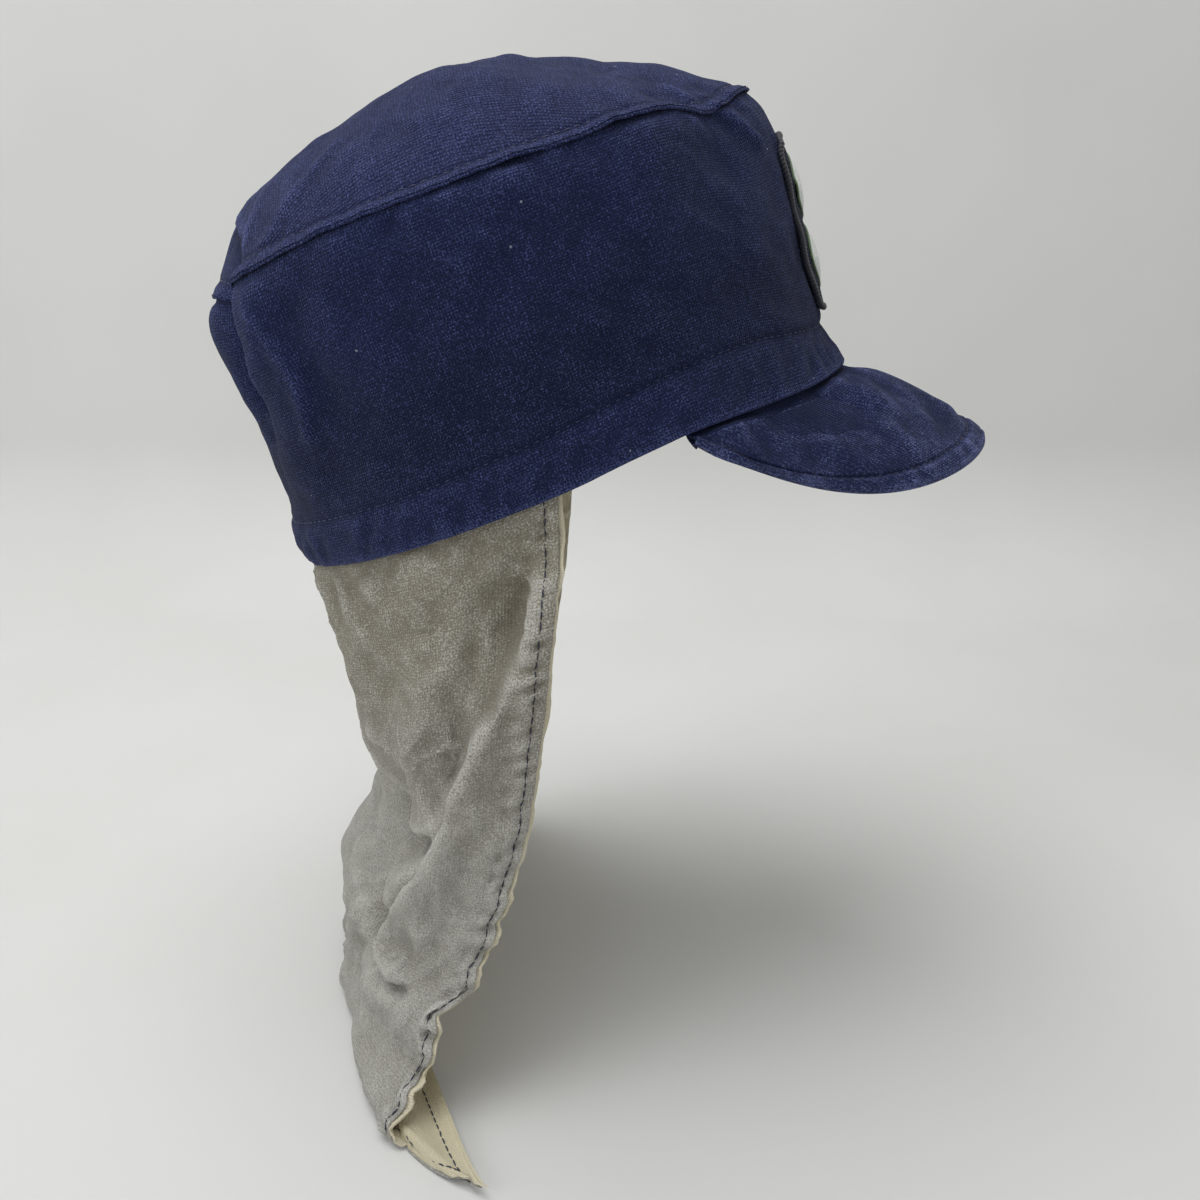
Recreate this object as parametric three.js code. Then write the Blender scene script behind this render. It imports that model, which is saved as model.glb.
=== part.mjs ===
// Sun hat with a neck flap, in the form it has on a head: a soft canvas cap tipped back a little,
// a short drooping peak, a cloth badge, and a long lined flap that hangs behind the ears and
// folds in under itself at the surface below.
// Millimetres, +Z up. The origin is the middle of the headband opening. -Y is the front of the
// hat. -X is the wearer's right, called the near side, and +X is the far side.
// A turn is an angle round the cap in degrees: 0 at the front, 90 at the near side, 180 behind.

import * as THREE from 'three';

const DEGREE = Math.PI / 180;

// Cloth thicknesses, and the clearance between pieces that are sewn together.
const CANVAS = 1.5;
const HEM_CANVAS = 2.2;
const PEAK_CANVAS = 2.6;
const BADGE_CLOTH = 1.4;
const FLAP_CLOTH = 1.0;
const LINING_CLOTH = 1.0;
const CLEARANCE = 0.3;

// The cap as worn: its front is lifted, its plan is an egg that is wider behind.
const CAP_TILT = 20;
const CAP_GIRTH = 585;
const EGG = 0.06;
const HEM_HEIGHT = 17;
const SEAM_HEIGHT = 92.6;

// Heights of the rim, the hem's stitch line and the top seam, a row for each turn from the front.
const CAP_LINES = [
  { turn: 0, rim: 0.8, hem: 15.5, seam: 91.8 },
  { turn: 22, rim: 1.8, hem: 16.8, seam: 90.0 },
  { turn: 35, rim: 2.4, hem: 19.8, seam: 87.2 },
  { turn: 47, rim: 3.8, hem: 22.8, seam: 90.6 },
  { turn: 68, rim: 6.0, hem: 23.5, seam: 90.8 },
  { turn: 90, rim: 3.6, hem: 20.0, seam: 91.2 },
  { turn: 115, rim: 1.9, hem: 17.2, seam: 91.0 },
  { turn: 137, rim: 1.1, hem: 16.4, seam: 88.0 },
  { turn: 149, rim: 1.0, hem: 16.2, seam: 88.2 },
  { turn: 164, rim: 1.0, hem: 16.4, seam: 90.8 },
  { turn: 180, rim: 1.0, hem: 16.6, seam: 91.4 },
];

// The side band, a row for each height above the rim: reach forward, reach back and half width.
const WALL_SECTIONS = [
  { height: 0, front: 99.0, back: 100.2, half: 83.0 },
  { height: 5, front: 97.4, back: 101.4, half: 83.3 },
  { height: 11, front: 95.4, back: 101.4, half: 82.9 },
  { height: 16.5, front: 94.6, back: 100.0, half: 81.8 },
  { height: 20, front: 95.4, back: 98.4, half: 82.0 },
  { height: 36, front: 96.2, back: 95.6, half: 81.5 },
  { height: 56, front: 97.2, back: 95.2, half: 82.0 },
  { height: 74, front: 97.8, back: 96.2, half: 81.8 },
  { height: 86, front: 96.4, back: 95.0, half: 80.8 },
  { height: SEAM_HEIGHT, front: 93.4, back: 92.4, half: 79.2 },
];

// The top, a row for each share of the way from its middle to the seam: its height at the front,
// at the sides and behind.
const TIP_SECTIONS = [
  { share: 0, front: 130.2, side: 130.2, back: 130.2 },
  { share: 0.2, front: 128.4, side: 129.0, back: 127.6 },
  { share: 0.4, front: 122.0, side: 125.4, back: 123.4 },
  { share: 0.6, front: 113.4, side: 118.4, back: 118.6 },
  { share: 0.75, front: 106.4, side: 111.0, back: 114.2 },
  { share: 0.86, front: 100.6, side: 103.6, back: 107.4 },
  { share: 0.94, front: 96.2, side: 96.8, back: 98.6 },
  { share: 1, front: 92.6, side: 92.6, back: 92.6 },
];
const ALLOWANCE_SHARE = 0.94;

// Folds. Each runs from one place by another to a third, is raised by its lift (or sunk, where
// that is negative), and fades over a width ahead of it and a width behind it.
// On the side band a place is [mm round the girth from the front, mm above the rim].
const WALL_FOLDS = [
  { from: [226, 112], by: [218, 78], to: [246, 26], ahead: 26, behind: 7, lift: 4.5 },
  { from: [238, 112], by: [236, 80], to: [246, 44], ahead: 8, behind: 12, lift: -6.5 },
  { from: [262, 92], by: [256, 62], to: [262, 20], ahead: 9, behind: 16, lift: 2.6 },
  { from: [150, 60], by: [185, 50], to: [215, 22], ahead: 22, behind: 22, lift: -1.6 },
  { from: [52, 98], by: [58, 80], to: [80, 58], ahead: 9, behind: 12, lift: -2.4 },
  { from: [340, 104], by: [352, 76], to: [338, 30], ahead: 12, behind: 20, lift: 3.2 },
  { from: [328, 98], by: [334, 70], to: [326, 40], ahead: 14, behind: 10, lift: -4.0 },
];

// On the top a place is [mm across, mm along], from its middle.
const TIP_FOLDS = [
  { from: [-60, 76], by: [-46, 62], to: [-22, 24], ahead: 10, behind: 12, lift: 2.2 },
  { from: [-46, 92], by: [-36, 78], to: [-26, 62], ahead: 9, behind: 8, lift: -3.5 },
  { from: [-52, -82], by: [-40, -62], to: [-28, -30], ahead: 12, behind: 12, lift: -1.8 },
  { from: [56, 82], by: [44, 64], to: [20, 30], ahead: 12, behind: 10, lift: 2.0 },
];

// The peak: its edge is half an oval in plan that drops from the corners to its tip.
const PEAK_CORNER_TURN = 66;
const PEAK_HALF_WIDTH = 75;
const PEAK_CORNER_Y = -41;
const PEAK_CORNER_Z = 5.4;
const PEAK_LENGTH = 95.5;
const PEAK_DROP = 42.8;
const PEAK_DROP_SHAPE = 2.6;
const PEAK_TUCK = 6;
const PEAK_CROWN = 2.2;
const PEAK_CROWN_LEAN = 37;
const PEAK_ROLL = 0.7;
const PEAK_UNDER_RIM = 1.6;
const PEAK_COLUMNS = 22;
const PEAK_ROWS = [-1, 0, 0.02, 0.2, 0.4, 0.6, 0.8, 0.95, 1];

// The badge is a rounded square on the front of the side band, with two raised lozenges.
const BADGE_WIDTH = 60;
const BADGE_TALL = 57;
const BADGE_CENTRE_HEIGHT = 49.5;
const BADGE_SQUARENESS = 5;
const LOZENGES = [
  { name: 'badge_lozenge_upper', height: 61, width: 40, tall: 20 },
  { name: 'badge_lozenge_lower', height: 38, width: 40, tall: 20 },
];
const LOZENGE_LIFT = 1.6;
const LOZENGE_EDGE = 0.5;
const LOZENGE_SQUARENESS = 1.6;
const BADGE_RINGS = [1, 0.9, 0.55, 0];
const BADGE_SIDES = 20;

// The flap hangs from the near side round the back to the far side. A row for each share of the
// drop from the hem to the surface below: half its width, where its front edges are, its reach
// behind, and how far its plan is drawn in from an oval, where 1 is an oval.
const FLAP_START_TURN = 91;
const FLAP_TUCK = 10;
const SURFACE_Z = -196;
const FLAP_SECTIONS = [
  { drop: 0, half: 80.5, front: 2.0, back: 95.0, taper: 1 },
  { drop: 0.1, half: 81.4, front: 2.8, back: 90.5, taper: 1 },
  { drop: 0.2, half: 82.8, front: 4.8, back: 85.5, taper: 1 },
  { drop: 0.3, half: 84.5, front: 7.0, back: 81.0, taper: 1 },
  { drop: 0.42, half: 87.2, front: 10.0, back: 76.0, taper: 1 },
  { drop: 0.54, half: 90.2, front: 13.8, back: 78.0, taper: 1 },
  { drop: 0.63, half: 92.9, front: 19.1, back: 84.0, taper: 1.05 },
  { drop: 0.71, half: 95.4, front: 24.0, back: 88.5, taper: 1.1 },
  { drop: 0.79, half: 98.0, front: 31.0, back: 89.5, taper: 1.15 },
  { drop: 0.84, half: 99.6, front: 42.0, back: 90.0, taper: 1.3 },
  { drop: 0.92, half: 102.5, front: 46.6, back: 91.0, taper: 1.45 },
  { drop: 1, half: 106.0, front: 52.0, back: 94.0, taper: 1.6 },
];
const HEM_FOLLOW = 0.12;

// On the flap a place is [mm across from the near edge, mm down from the hem].
const FLAP_SPAN = 280;
const FLAP_DROP = 197;
const FLAP_FOLDS = [
  { from: [2, 12], by: [14, 84], to: [72, 142], ahead: 26, behind: 10, lift: 8 },
  { from: [8, -14], by: [22, 66], to: [62, 112], ahead: 10, behind: 12, lift: -7 },
  { from: [16, 6], by: [26, 52], to: [38, 92], ahead: 10, behind: 14, lift: 3 },
  { from: [44, 30], by: [46, 72], to: [56, 116], ahead: 12, behind: 16, lift: 4 },
  { from: [76, 74], by: [86, 104], to: [92, 142], ahead: 14, behind: 16, lift: -10 },
  { from: [86, 132], by: [52, 152], to: [6, 158], ahead: 10, behind: 12, lift: -6 },
  { from: [50, 176], by: [34, 160], to: [-8, 172], ahead: 12, behind: 12, lift: 3 },
  { from: [140, 96], by: [138, 130], to: [134, 186], ahead: 18, behind: 18, lift: 4 },
  { from: [206, 20], by: [198, 90], to: [186, 170], ahead: 18, behind: 16, lift: -7 },
  { from: [234, 30], by: [226, 96], to: [212, 176], ahead: 16, behind: 18, lift: 6 },
  { from: [262, 10], by: [254, 96], to: [238, 168], ahead: 14, behind: 12, lift: -6 },
];

// What lies on the surface: the flap turns in over a small roll and runs inward, and its near
// corner swings forward.
const ROLL_RADIUS = 5;
const ROLL_LEAN = 20;
const LAID_WIDTH = 20;
const LAID_RISE = 2;
const CORNER_SWING = { across: -46, along: -26, fade: 90 };
const LINING_SHOWS = 1;

const FLAP_COLUMNS = 36;
const FLAP_COLUMN_SPACING = 1.3;
const FLAP_HANGING_ROWS = 12;
const FLAP_LAID_ROWS = 6;

// Curves are sampled and normals are measured at these steps.
const FOLD_SAMPLES = 12;
const FOLD_END_SHAPE = 0.6;
const NORMAL_STEP = 0.01;
const SMALLEST = 1e-9;

// Columns round the cap are closer together near the creased back corners.
const CAP_COLUMN_TURN = 7;
const CREASE_COLUMN_TURN = 4;
const CREASE = { turn: 33, reach: 20 };

// The side band's folds fade out at the rim and in the top, between these levels.
const WALL_FOLD_START = { low: -0.1, high: 0.5 };
const WALL_FOLD_END = { low: 1, high: 1.35 };
const WALL_FOLD_TOP = 1.2;
const TIP_FOLD_START = 0.2;
const FLAP_FOLD_END = 0.9;

const CLOTH_ROUGHNESS = 0.95;
const THREAD_ROUGHNESS = 0.7;
const NAVY_CANVAS = 0x2a2e55;
const FADED_CANVAS = 0x31365f;
const BADGE_NAVY = 0x1b2140;
const BADGE_THREAD = 0xd9dfdc;
const FLAP_GREY = 0x8d8b86;
const LINING_CREAM = 0xd8d0b6;

/** Value of one column of a table at a place on its key column, on a smooth curve through it. */
function tableValue(rows, key, column, place) {
  const last = rows.length - 1;
  const held = Math.min(Math.max(place, rows[0][key]), rows[last][key]);
  let row = 0;
  while (row < last - 1 && held > rows[row + 1][key]) row += 1;
  const slope = (k) => (rows[k + 1][column] - rows[k][column]) / (rows[k + 1][key] - rows[k][key]);
  const tangent = (k) => {
    if (k === 0) return slope(0);
    if (k === last) return slope(last - 1);
    return (slope(k - 1) + slope(k)) / 2;
  };
  const span = rows[row + 1][key] - rows[row][key];
  const t = (held - rows[row][key]) / span;
  const start = rows[row][column] * (1 + 2 * t) * (1 - t) ** 2;
  const end = rows[row + 1][column] * (3 - 2 * t) * t ** 2;
  const leaving = tangent(row) * span * t * (1 - t) ** 2;
  const arriving = tangent(row + 1) * span * t ** 2 * (t - 1);
  return start + end + leaving + arriving;
}

/** Smooth step from 0 at low to 1 at high. */
function ease(low, high, value) {
  return THREE.MathUtils.smoothstep(value, low, high);
}

/** How far a table of folds raises the cloth at a place given in millimetres. */
function foldLift(folds, across, along) {
  let lift = 0;
  for (const fold of folds) {
    let nearest = Infinity;
    let share = 0;
    let side = 0;
    for (let step = 0; step <= FOLD_SAMPLES; step += 1) {
      const t = step / FOLD_SAMPLES;
      const [x, y] = [0, 1].map((k) => (
        fold.from[k] * (1 - t) ** 2 + 2 * fold.by[k] * t * (1 - t) + fold.to[k] * t ** 2));
      const distance = Math.hypot(across - x, along - y);
      if (distance < nearest) {
        nearest = distance;
        share = t;
        side = across - x;
      }
    }
    const width = side < 0 ? fold.ahead : fold.behind;
    const ends = Math.sin(Math.PI * share) ** FOLD_END_SHAPE;
    lift += fold.lift * Math.exp(-((nearest / width) ** 2)) * ends;
  }
  return lift;
}

/** Point on an egg-shaped plan outline for a turn, its reaches, its half width and its taper. */
function eggPlan(turn, front, back, half, taper) {
  const cosine = Math.cos(turn * DEGREE);
  const sine = Math.sin(turn * DEGREE);
  const reach = cosine > 0 ? front : back;
  const x = -half * Math.sign(sine) * Math.abs(sine) ** taper * (1 - EGG * cosine);
  return [x, -reach * Math.sign(cosine) * Math.abs(cosine) ** taper];
}

/**
 * Point of the cap's base surface, the outer face of the side band, in the cap's own frame.
 * A level of 0 is the rim, 1 is the seam and 2 is the middle of the top.
 */
function capSurface(turn, level) {
  const height = Math.min(level, 1) * SEAM_HEIGHT;
  const share = 2 - Math.max(level, 1);
  const column = (name) => tableValue(WALL_SECTIONS, 'height', name, height);
  const [x, y] = eggPlan(turn, column('front'), column('back'), column('half'), 1);
  const sideways = Math.sin(turn * DEGREE) ** 2;
  const ahead = Math.max(Math.cos(turn * DEGREE), 0) ** 2;
  const point = new THREE.Vector3(x * share, y * share, height);
  const fromFront = Math.acos(Math.cos(turn * DEGREE)) / DEGREE;
  const line = (name) => tableValue(CAP_LINES, 'turn', name, fromFront);
  if (level > 1) {
    const dome = (name) => tableValue(TIP_SECTIONS, 'share', name, share);
    const behind = 1 - sideways - ahead;
    point.z = dome('side') * sideways + dome('front') * ahead + dome('back') * behind;
    point.z += (line('seam') - SEAM_HEIGHT) * share ** 4;
    point.z += foldLift(TIP_FOLDS, point.x, point.y) * ease(0, TIP_FOLD_START, level - 1);
  } else if (height > HEM_HEIGHT) {
    point.z = THREE.MathUtils.mapLinear(height, HEM_HEIGHT, SEAM_HEIGHT, line('hem'), line('seam'));
  } else {
    point.z = THREE.MathUtils.mapLinear(height, 0, HEM_HEIGHT, line('rim'), line('hem'));
  }
  return point;
}

/** Outward unit normal of the cap's base surface. */
function capNormal(turn, level) {
  const low = Math.max(level - NORMAL_STEP, 0);
  const high = Math.min(level + NORMAL_STEP, 2 - NORMAL_STEP);
  const up = capSurface(turn, high).sub(capSurface(turn, low));
  const round = capSurface(turn + 1, level).sub(capSurface(turn - 1, level));
  if (round.lengthSq() < SMALLEST) return new THREE.Vector3(0, 0, 1);
  return up.cross(round).normalize();
}

/** Point of the cap at a distance outside its base surface, with the side band's folds. */
function capPoint(turn, level, outside) {
  const normal = capNormal(turn, level);
  const girth = (((turn % 360) + 360) % 360) * (CAP_GIRTH / 360);
  const starting = ease(WALL_FOLD_START.low, WALL_FOLD_START.high, level);
  const faded = starting * (1 - ease(WALL_FOLD_END.low, WALL_FOLD_END.high, level));
  const fold = foldLift(WALL_FOLDS, girth, Math.min(level, WALL_FOLD_TOP) * SEAM_HEIGHT) * faded;
  return capSurface(turn, level).addScaledVector(normal, outside + fold);
}

/**
 * Closed body between two grids of points. A grid is a list of rows, a row of one point closes
 * the body to a pole there, and a grid that wraps joins its last column to its first.
 */
function closedBody(outer, inner, wraps) {
  const vertices = [];
  const index = new Map();
  const vertex = (point) => {
    if (!index.has(point)) {
      index.set(point, vertices.length / 3);
      vertices.push(point.x, point.y, point.z);
    }
    return index.get(point);
  };
  const triangles = [];
  const addTriangle = (a, b, c) => {
    if (a !== b && b !== c && c !== a) triangles.push(vertex(a), vertex(b), vertex(c));
  };
  const addQuad = (a, b, c, d) => {
    addTriangle(a, b, c);
    addTriangle(a, c, d);
  };
  const columns = Math.max(...outer.map((row) => row.length));
  const at = (grid, row, column) => grid[row][grid[row].length === 1 ? 0 : column % columns];
  const spans = wraps ? columns : columns - 1;
  const lastRow = outer.length - 1;
  for (let column = 0; column < spans; column += 1) {
    for (let row = 0; row < lastRow; row += 1) {
      const corners = (grid) => [
        at(grid, row, column), at(grid, row, column + 1),
        at(grid, row + 1, column + 1), at(grid, row + 1, column)];
      addQuad(...corners(outer));
      const [a, b, c, d] = corners(inner);
      addTriangle(a, c, b);
      addTriangle(a, d, c);
    }
    addQuad(
      at(inner, 0, column), at(inner, 0, column + 1),
      at(outer, 0, column + 1), at(outer, 0, column));
    if (outer[lastRow].length > 1) {
      addQuad(
        at(outer, lastRow, column), at(outer, lastRow, column + 1),
        at(inner, lastRow, column + 1), at(inner, lastRow, column));
    }
  }
  if (!wraps) {
    for (let row = 0; row < lastRow; row += 1) {
      addQuad(outer[row][0], outer[row + 1][0], inner[row + 1][0], inner[row][0]);
      const end = columns - 1;
      addQuad(inner[row][end], inner[row + 1][end], outer[row + 1][end], outer[row][end]);
    }
  }
  const geometry = new THREE.BufferGeometry();
  geometry.setAttribute('position', new THREE.Float32BufferAttribute(vertices, 3));
  geometry.setIndex(facingOut(vertices, triangles));
  geometry.computeVertexNormals();
  return geometry;
}

/** The triangles of a closed body, turned over if they enclose a negative volume. */
function facingOut(vertices, triangles) {
  const corner = (k) => new THREE.Vector3().fromArray(vertices, triangles[k] * 3);
  let volume = 0;
  for (let k = 0; k < triangles.length; k += 3) {
    volume += corner(k).dot(corner(k + 1).cross(corner(k + 2)));
  }
  return volume > 0 ? triangles : triangles.reverse();
}

/** Unit normals of an open grid of points, from its neighbours along rows and columns. */
function gridNormals(grid) {
  const lastRow = grid.length - 1;
  const lastColumn = grid[0].length - 1;
  return grid.map((points, row) => points.map((_, column) => {
    const left = points[Math.max(column - 1, 0)];
    const right = points[Math.min(column + 1, lastColumn)];
    const above = grid[Math.max(row - 1, 0)][column];
    const below = grid[Math.min(row + 1, lastRow)][column];
    const across = right.clone().sub(left);
    return across.cross(below.clone().sub(above)).normalize();
  }));
}

/** A grid moved along its normals. */
function offsetGrid(grid, normals, distance) {
  return grid.map((points, row) => points.map((point, column) => (
    point.clone().addScaledVector(normals[row][column], distance))));
}

/** Turns of the columns round the cap, closer together where the back corners crease. */
function capTurns() {
  const turns = [];
  const creased = (turn) => Math.abs(Math.abs(turn - 180) - CREASE.turn) < CREASE.reach;
  const step = (turn) => (creased(turn) ? CREASE_COLUMN_TURN : CAP_COLUMN_TURN);
  for (let turn = 0; turn < 360; turn += step(turn)) turns.push(turn);
  return turns;
}

/** One grid round the cap at the levels given, at a distance outside its base surface. */
function capGrid(levels, outside) {
  return levels.map((level) => {
    if (level === 2) return [capPoint(0, level, outside)];
    return capTurns().map((turn) => capPoint(turn, level, outside));
  });
}

/** The side band with its thicker hem and the seam allowance that runs in under the top. */
function crownSide() {
  const hem = HEM_HEIGHT / SEAM_HEIGHT;
  const levels = WALL_SECTIONS.map((section) => section.height / SEAM_HEIGHT);
  levels.push(2 - ALLOWANCE_SHARE);
  const outer = capGrid(levels, 0);
  const thin = capGrid(levels, -CANVAS);
  const thick = capGrid(levels, -HEM_CANVAS);
  return closedBody(outer, levels.map((level, row) => (level < hem ? thick : thin)[row]), true);
}

/** The domed top, which lies over the side band's seam allowance. */
function crownTip() {
  const levels = TIP_SECTIONS.map((section) => 2 - section.share).reverse();
  return closedBody(
    capGrid(levels, CLEARANCE + CANVAS), capGrid(levels, CLEARANCE), true);
}

/** Point of the peak's upper face: across from -1 to 1, out from -1 (tuck) by 0 to 1 (edge). */
function peakPoint(across, out) {
  const turn = across * PEAK_CORNER_TURN;
  const inset = -(HEM_CANVAS + 2 * CLEARANCE);
  const height = Math.max(-out, 0) * PEAK_TUCK;
  const tucked = capPoint(turn, height / SEAM_HEIGHT, inset);
  tucked.z -= PEAK_UNDER_RIM / 2;
  if (out <= 0) return tucked;
  const swing = Math.asin(Math.sin(turn * DEGREE) / Math.sin(PEAK_CORNER_TURN * DEGREE));
  const forward = Math.cos(swing);
  const edge = new THREE.Vector3(
    -PEAK_HALF_WIDTH * Math.sin(swing), PEAK_CORNER_Y - PEAK_LENGTH * forward,
    PEAK_CORNER_Z - PEAK_DROP * (1 - (1 - forward) ** PEAK_DROP_SHAPE) - PEAK_ROLL);
  const root = capPoint(turn, 0, 0);
  root.z -= PEAK_UNDER_RIM;
  const point = root.clone().lerp(edge, out);
  const bulge = Math.sin(Math.PI * out) * PEAK_CROWN * forward;
  point.y -= bulge * Math.sin(PEAK_CROWN_LEAN * DEGREE);
  point.z += bulge * Math.cos(PEAK_CROWN_LEAN * DEGREE);
  return point;
}

/** The peak, sewn up inside the hem. */
function peak() {
  const upper = PEAK_ROWS.map((out) => Array.from({ length: PEAK_COLUMNS + 1 }, (_, column) => (
    peakPoint((column / PEAK_COLUMNS) * 2 - 1, out))));
  const normals = gridNormals(upper);
  return closedBody(upper, offsetGrid(upper, normals, -PEAK_CANVAS), false);
}

/** A rounded cloth shape on the front of the cap, given by its middle, its size and its faces. */
function frontShape(middle, width, tall, squareness, face) {
  const point = (ring, side, outside) => {
    const angle = (side / BADGE_SIDES) * 2 * Math.PI;
    const [c, s] = [Math.cos(angle), Math.sin(angle)];
    const roundness = (Math.abs(c) ** squareness + Math.abs(s) ** squareness) ** (1 / squareness);
    const reach = ring / roundness;
    const turn = (c * reach * width) / 2 / (CAP_GIRTH / 360);
    return capPoint(turn, (middle + (s * reach * tall) / 2) / SEAM_HEIGHT, outside);
  };
  const sides = (ring) => ({ length: ring === 0 ? 1 : BADGE_SIDES });
  const grid = (outside) => BADGE_RINGS.map((ring) => (
    Array.from(sides(ring), (_, side) => point(ring, side, outside(ring)))));
  return closedBody(grid(face.outer), grid(face.inner), true);
}

/** The badge's ground cloth. */
function badgePatch() {
  const inner = () => CLEARANCE;
  const outer = () => CLEARANCE + BADGE_CLOTH;
  const face = { outer, inner };
  return frontShape(BADGE_CENTRE_HEIGHT, BADGE_WIDTH, BADGE_TALL, BADGE_SQUARENESS, face);
}

/** One raised lozenge of the badge. */
function badgeLozenge(lozenge) {
  const base = 2 * CLEARANCE + BADGE_CLOTH;
  const inner = () => base;
  const outer = (ring) => base + LOZENGE_EDGE + LOZENGE_LIFT * (1 - ring ** 2);
  const face = { outer, inner };
  return frontShape(lozenge.height, lozenge.width, lozenge.tall, LOZENGE_SQUARENESS, face);
}

/** A point of the cap's frame in the frame of the hat. */
function worn(point) {
  return point.applyAxisAngle(new THREE.Vector3(1, 0, 0), -CAP_TILT * DEGREE);
}

/** Point of the flap's outer face inside the hem, at a height above the rim. */
function flapInHem(across, height) {
  const turn = FLAP_START_TURN + across * (360 - 2 * FLAP_START_TURN);
  const inset = -(HEM_CANVAS + CLEARANCE);
  return worn(capPoint(turn, height / SEAM_HEIGHT, inset));
}

/** Point of the hanging flap's smooth form at a share across and a share of the drop. */
function flapForm(across, drop) {
  const hem = flapInHem(across, 0);
  const section = (name) => tableValue(FLAP_SECTIONS, 'drop', name, drop);
  const turn = (across + 0.5) * 180;
  const front = section('front');
  const reach = section('back') - front;
  const [x, y] = eggPlan(turn, reach, reach, section('half'), section('taper'));
  const foot = SURFACE_Z + ROLL_RADIUS * (1 + Math.sin(ROLL_LEAN * DEGREE));
  const z = hem.z + (foot - hem.z) * drop;
  const hung = new THREE.Vector3(x, front + y, z);
  hem.z = z;
  return hem.lerp(hung, ease(0, HEM_FOLLOW, drop));
}

/** Outward unit normal of the hanging flap's smooth form. */
function flapFormNormal(across, drop) {
  const low = Math.min(drop, 1 - NORMAL_STEP);
  const down = flapForm(across, low + NORMAL_STEP).sub(flapForm(across, low));
  const along = flapForm(across + NORMAL_STEP, drop).sub(flapForm(across - NORMAL_STEP, drop));
  return along.cross(down).normalize();
}

/** Point of the hanging flap's outer face, with its folds. */
function flapHanging(across, drop) {
  const lift = foldLift(FLAP_FOLDS, across * FLAP_SPAN, drop * FLAP_DROP);
  const faded = lift * ease(0, HEM_FOLLOW, drop) * (1 - ease(FLAP_FOLD_END, 1, drop));
  return flapForm(across, drop).addScaledVector(flapFormNormal(across, drop), faded);
}

/**
 * Point of the outer face of what lies on the surface: laid runs from 0, where the hanging cloth
 * ends, by 0.5, where the roll meets the surface, to 1 at the hem.
 */
function flapLaid(across, laid) {
  const foot = flapForm(across, 1);
  const inward = new THREE.Vector3(-foot.x, flapForm(0, 1).y - foot.y, 0).normalize();
  const roll = Math.min(laid / 0.5, 1);
  const run = Math.max(laid - 0.5, 0) / 0.5;
  const lean = ROLL_LEAN * DEGREE;
  const angle = -lean + (Math.PI / 2 + lean) * roll;
  const inset = ROLL_RADIUS * (Math.cos(lean) - Math.cos(angle)) + run * LAID_WIDTH;
  const point = foot.addScaledVector(inward, inset);
  point.z = SURFACE_Z + ROLL_RADIUS * (1 - Math.sin(angle)) + run ** 2 * LAID_RISE;
  const swing = Math.exp(-(((across * FLAP_SPAN) / CORNER_SWING.fade) ** 2)) * run ** 1.5;
  point.x += CORNER_SWING.across * swing;
  point.y += CORNER_SWING.along * swing;
  return point;
}

/** The grid of the flap's outer face, with a row in the hem, the hanging rows and the laid rows. */
function flapGrid() {
  const shares = Array.from({ length: FLAP_COLUMNS + 1 }, (_, column) => (
    (column / FLAP_COLUMNS) ** FLAP_COLUMN_SPACING));
  const rows = [shares.map((across) => flapInHem(across, FLAP_TUCK))];
  for (let row = 0; row <= FLAP_HANGING_ROWS; row += 1) {
    rows.push(shares.map((across) => flapHanging(across, row / FLAP_HANGING_ROWS)));
  }
  for (let row = 1; row <= FLAP_LAID_ROWS; row += 1) {
    rows.push(shares.map((across) => flapLaid(across, row / FLAP_LAID_ROWS)));
  }
  return rows;
}

/** Normals of the flap's outer face, which faces straight down where it lies on the surface. */
function flapNormals(grid) {
  const firstFlat = grid.length - 1 - FLAP_LAID_ROWS / 2;
  const flat = (normals) => normals.map(() => new THREE.Vector3(0, 0, -1));
  return gridNormals(grid).map((normals, row) => (row < firstFlat ? normals : flat(normals)));
}

/** A grid whose side edges and last row reach a little further out. */
function reachingOut(grid, reach) {
  const beyond = (edge, inside) => edge.clone().add(edge.clone().sub(inside).setLength(reach));
  const lastRow = grid.length - 1;
  const lastColumn = grid[0].length - 1;
  const wide = grid.map((points) => points.map((point, column) => {
    if (column === 0) return beyond(point, points[1]);
    if (column === lastColumn) return beyond(point, points[lastColumn - 1]);
    return point;
  }));
  wide[lastRow] = wide[lastRow].map((point, column) => beyond(point, wide[lastRow - 1][column]));
  return wide;
}

/** A node of the hat: a named mesh of one cloth. */
function piece(name, geometry, color, roughness = CLOTH_ROUGHNESS) {
  const material = new THREE.MeshStandardMaterial({ color, roughness, metalness: 0 });
  const mesh = new THREE.Mesh(geometry, material);
  mesh.name = name;
  return mesh;
}

const cap = new THREE.Group();
cap.rotation.x = -CAP_TILT * DEGREE;
cap.add(piece('crown_side', crownSide(), NAVY_CANVAS));
cap.add(piece('crown_tip', crownTip(), FADED_CANVAS));
cap.add(piece('peak', peak(), NAVY_CANVAS));
cap.add(piece('badge_patch', badgePatch(), BADGE_NAVY));
for (const lozenge of LOZENGES) {
  cap.add(piece(lozenge.name, badgeLozenge(lozenge), BADGE_THREAD, THREAD_ROUGHNESS));
}

const outerFace = flapGrid();
const faceNormals = flapNormals(outerFace);
const behindFace = (distance) => offsetGrid(outerFace, faceNormals, -distance);
const flapBack = behindFace(FLAP_CLOTH);
const liningFace = reachingOut(behindFace(FLAP_CLOTH + CLEARANCE), LINING_SHOWS);
const liningBack = reachingOut(behindFace(FLAP_CLOTH + CLEARANCE + LINING_CLOTH), LINING_SHOWS);

const hat = new THREE.Group();
hat.add(cap);
hat.add(piece('neck_flap', closedBody(outerFace, flapBack, false), FLAP_GREY));
hat.add(piece('flap_lining', closedBody(liningFace, liningBack, false), LINING_CREAM));

export default hat;
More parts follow.
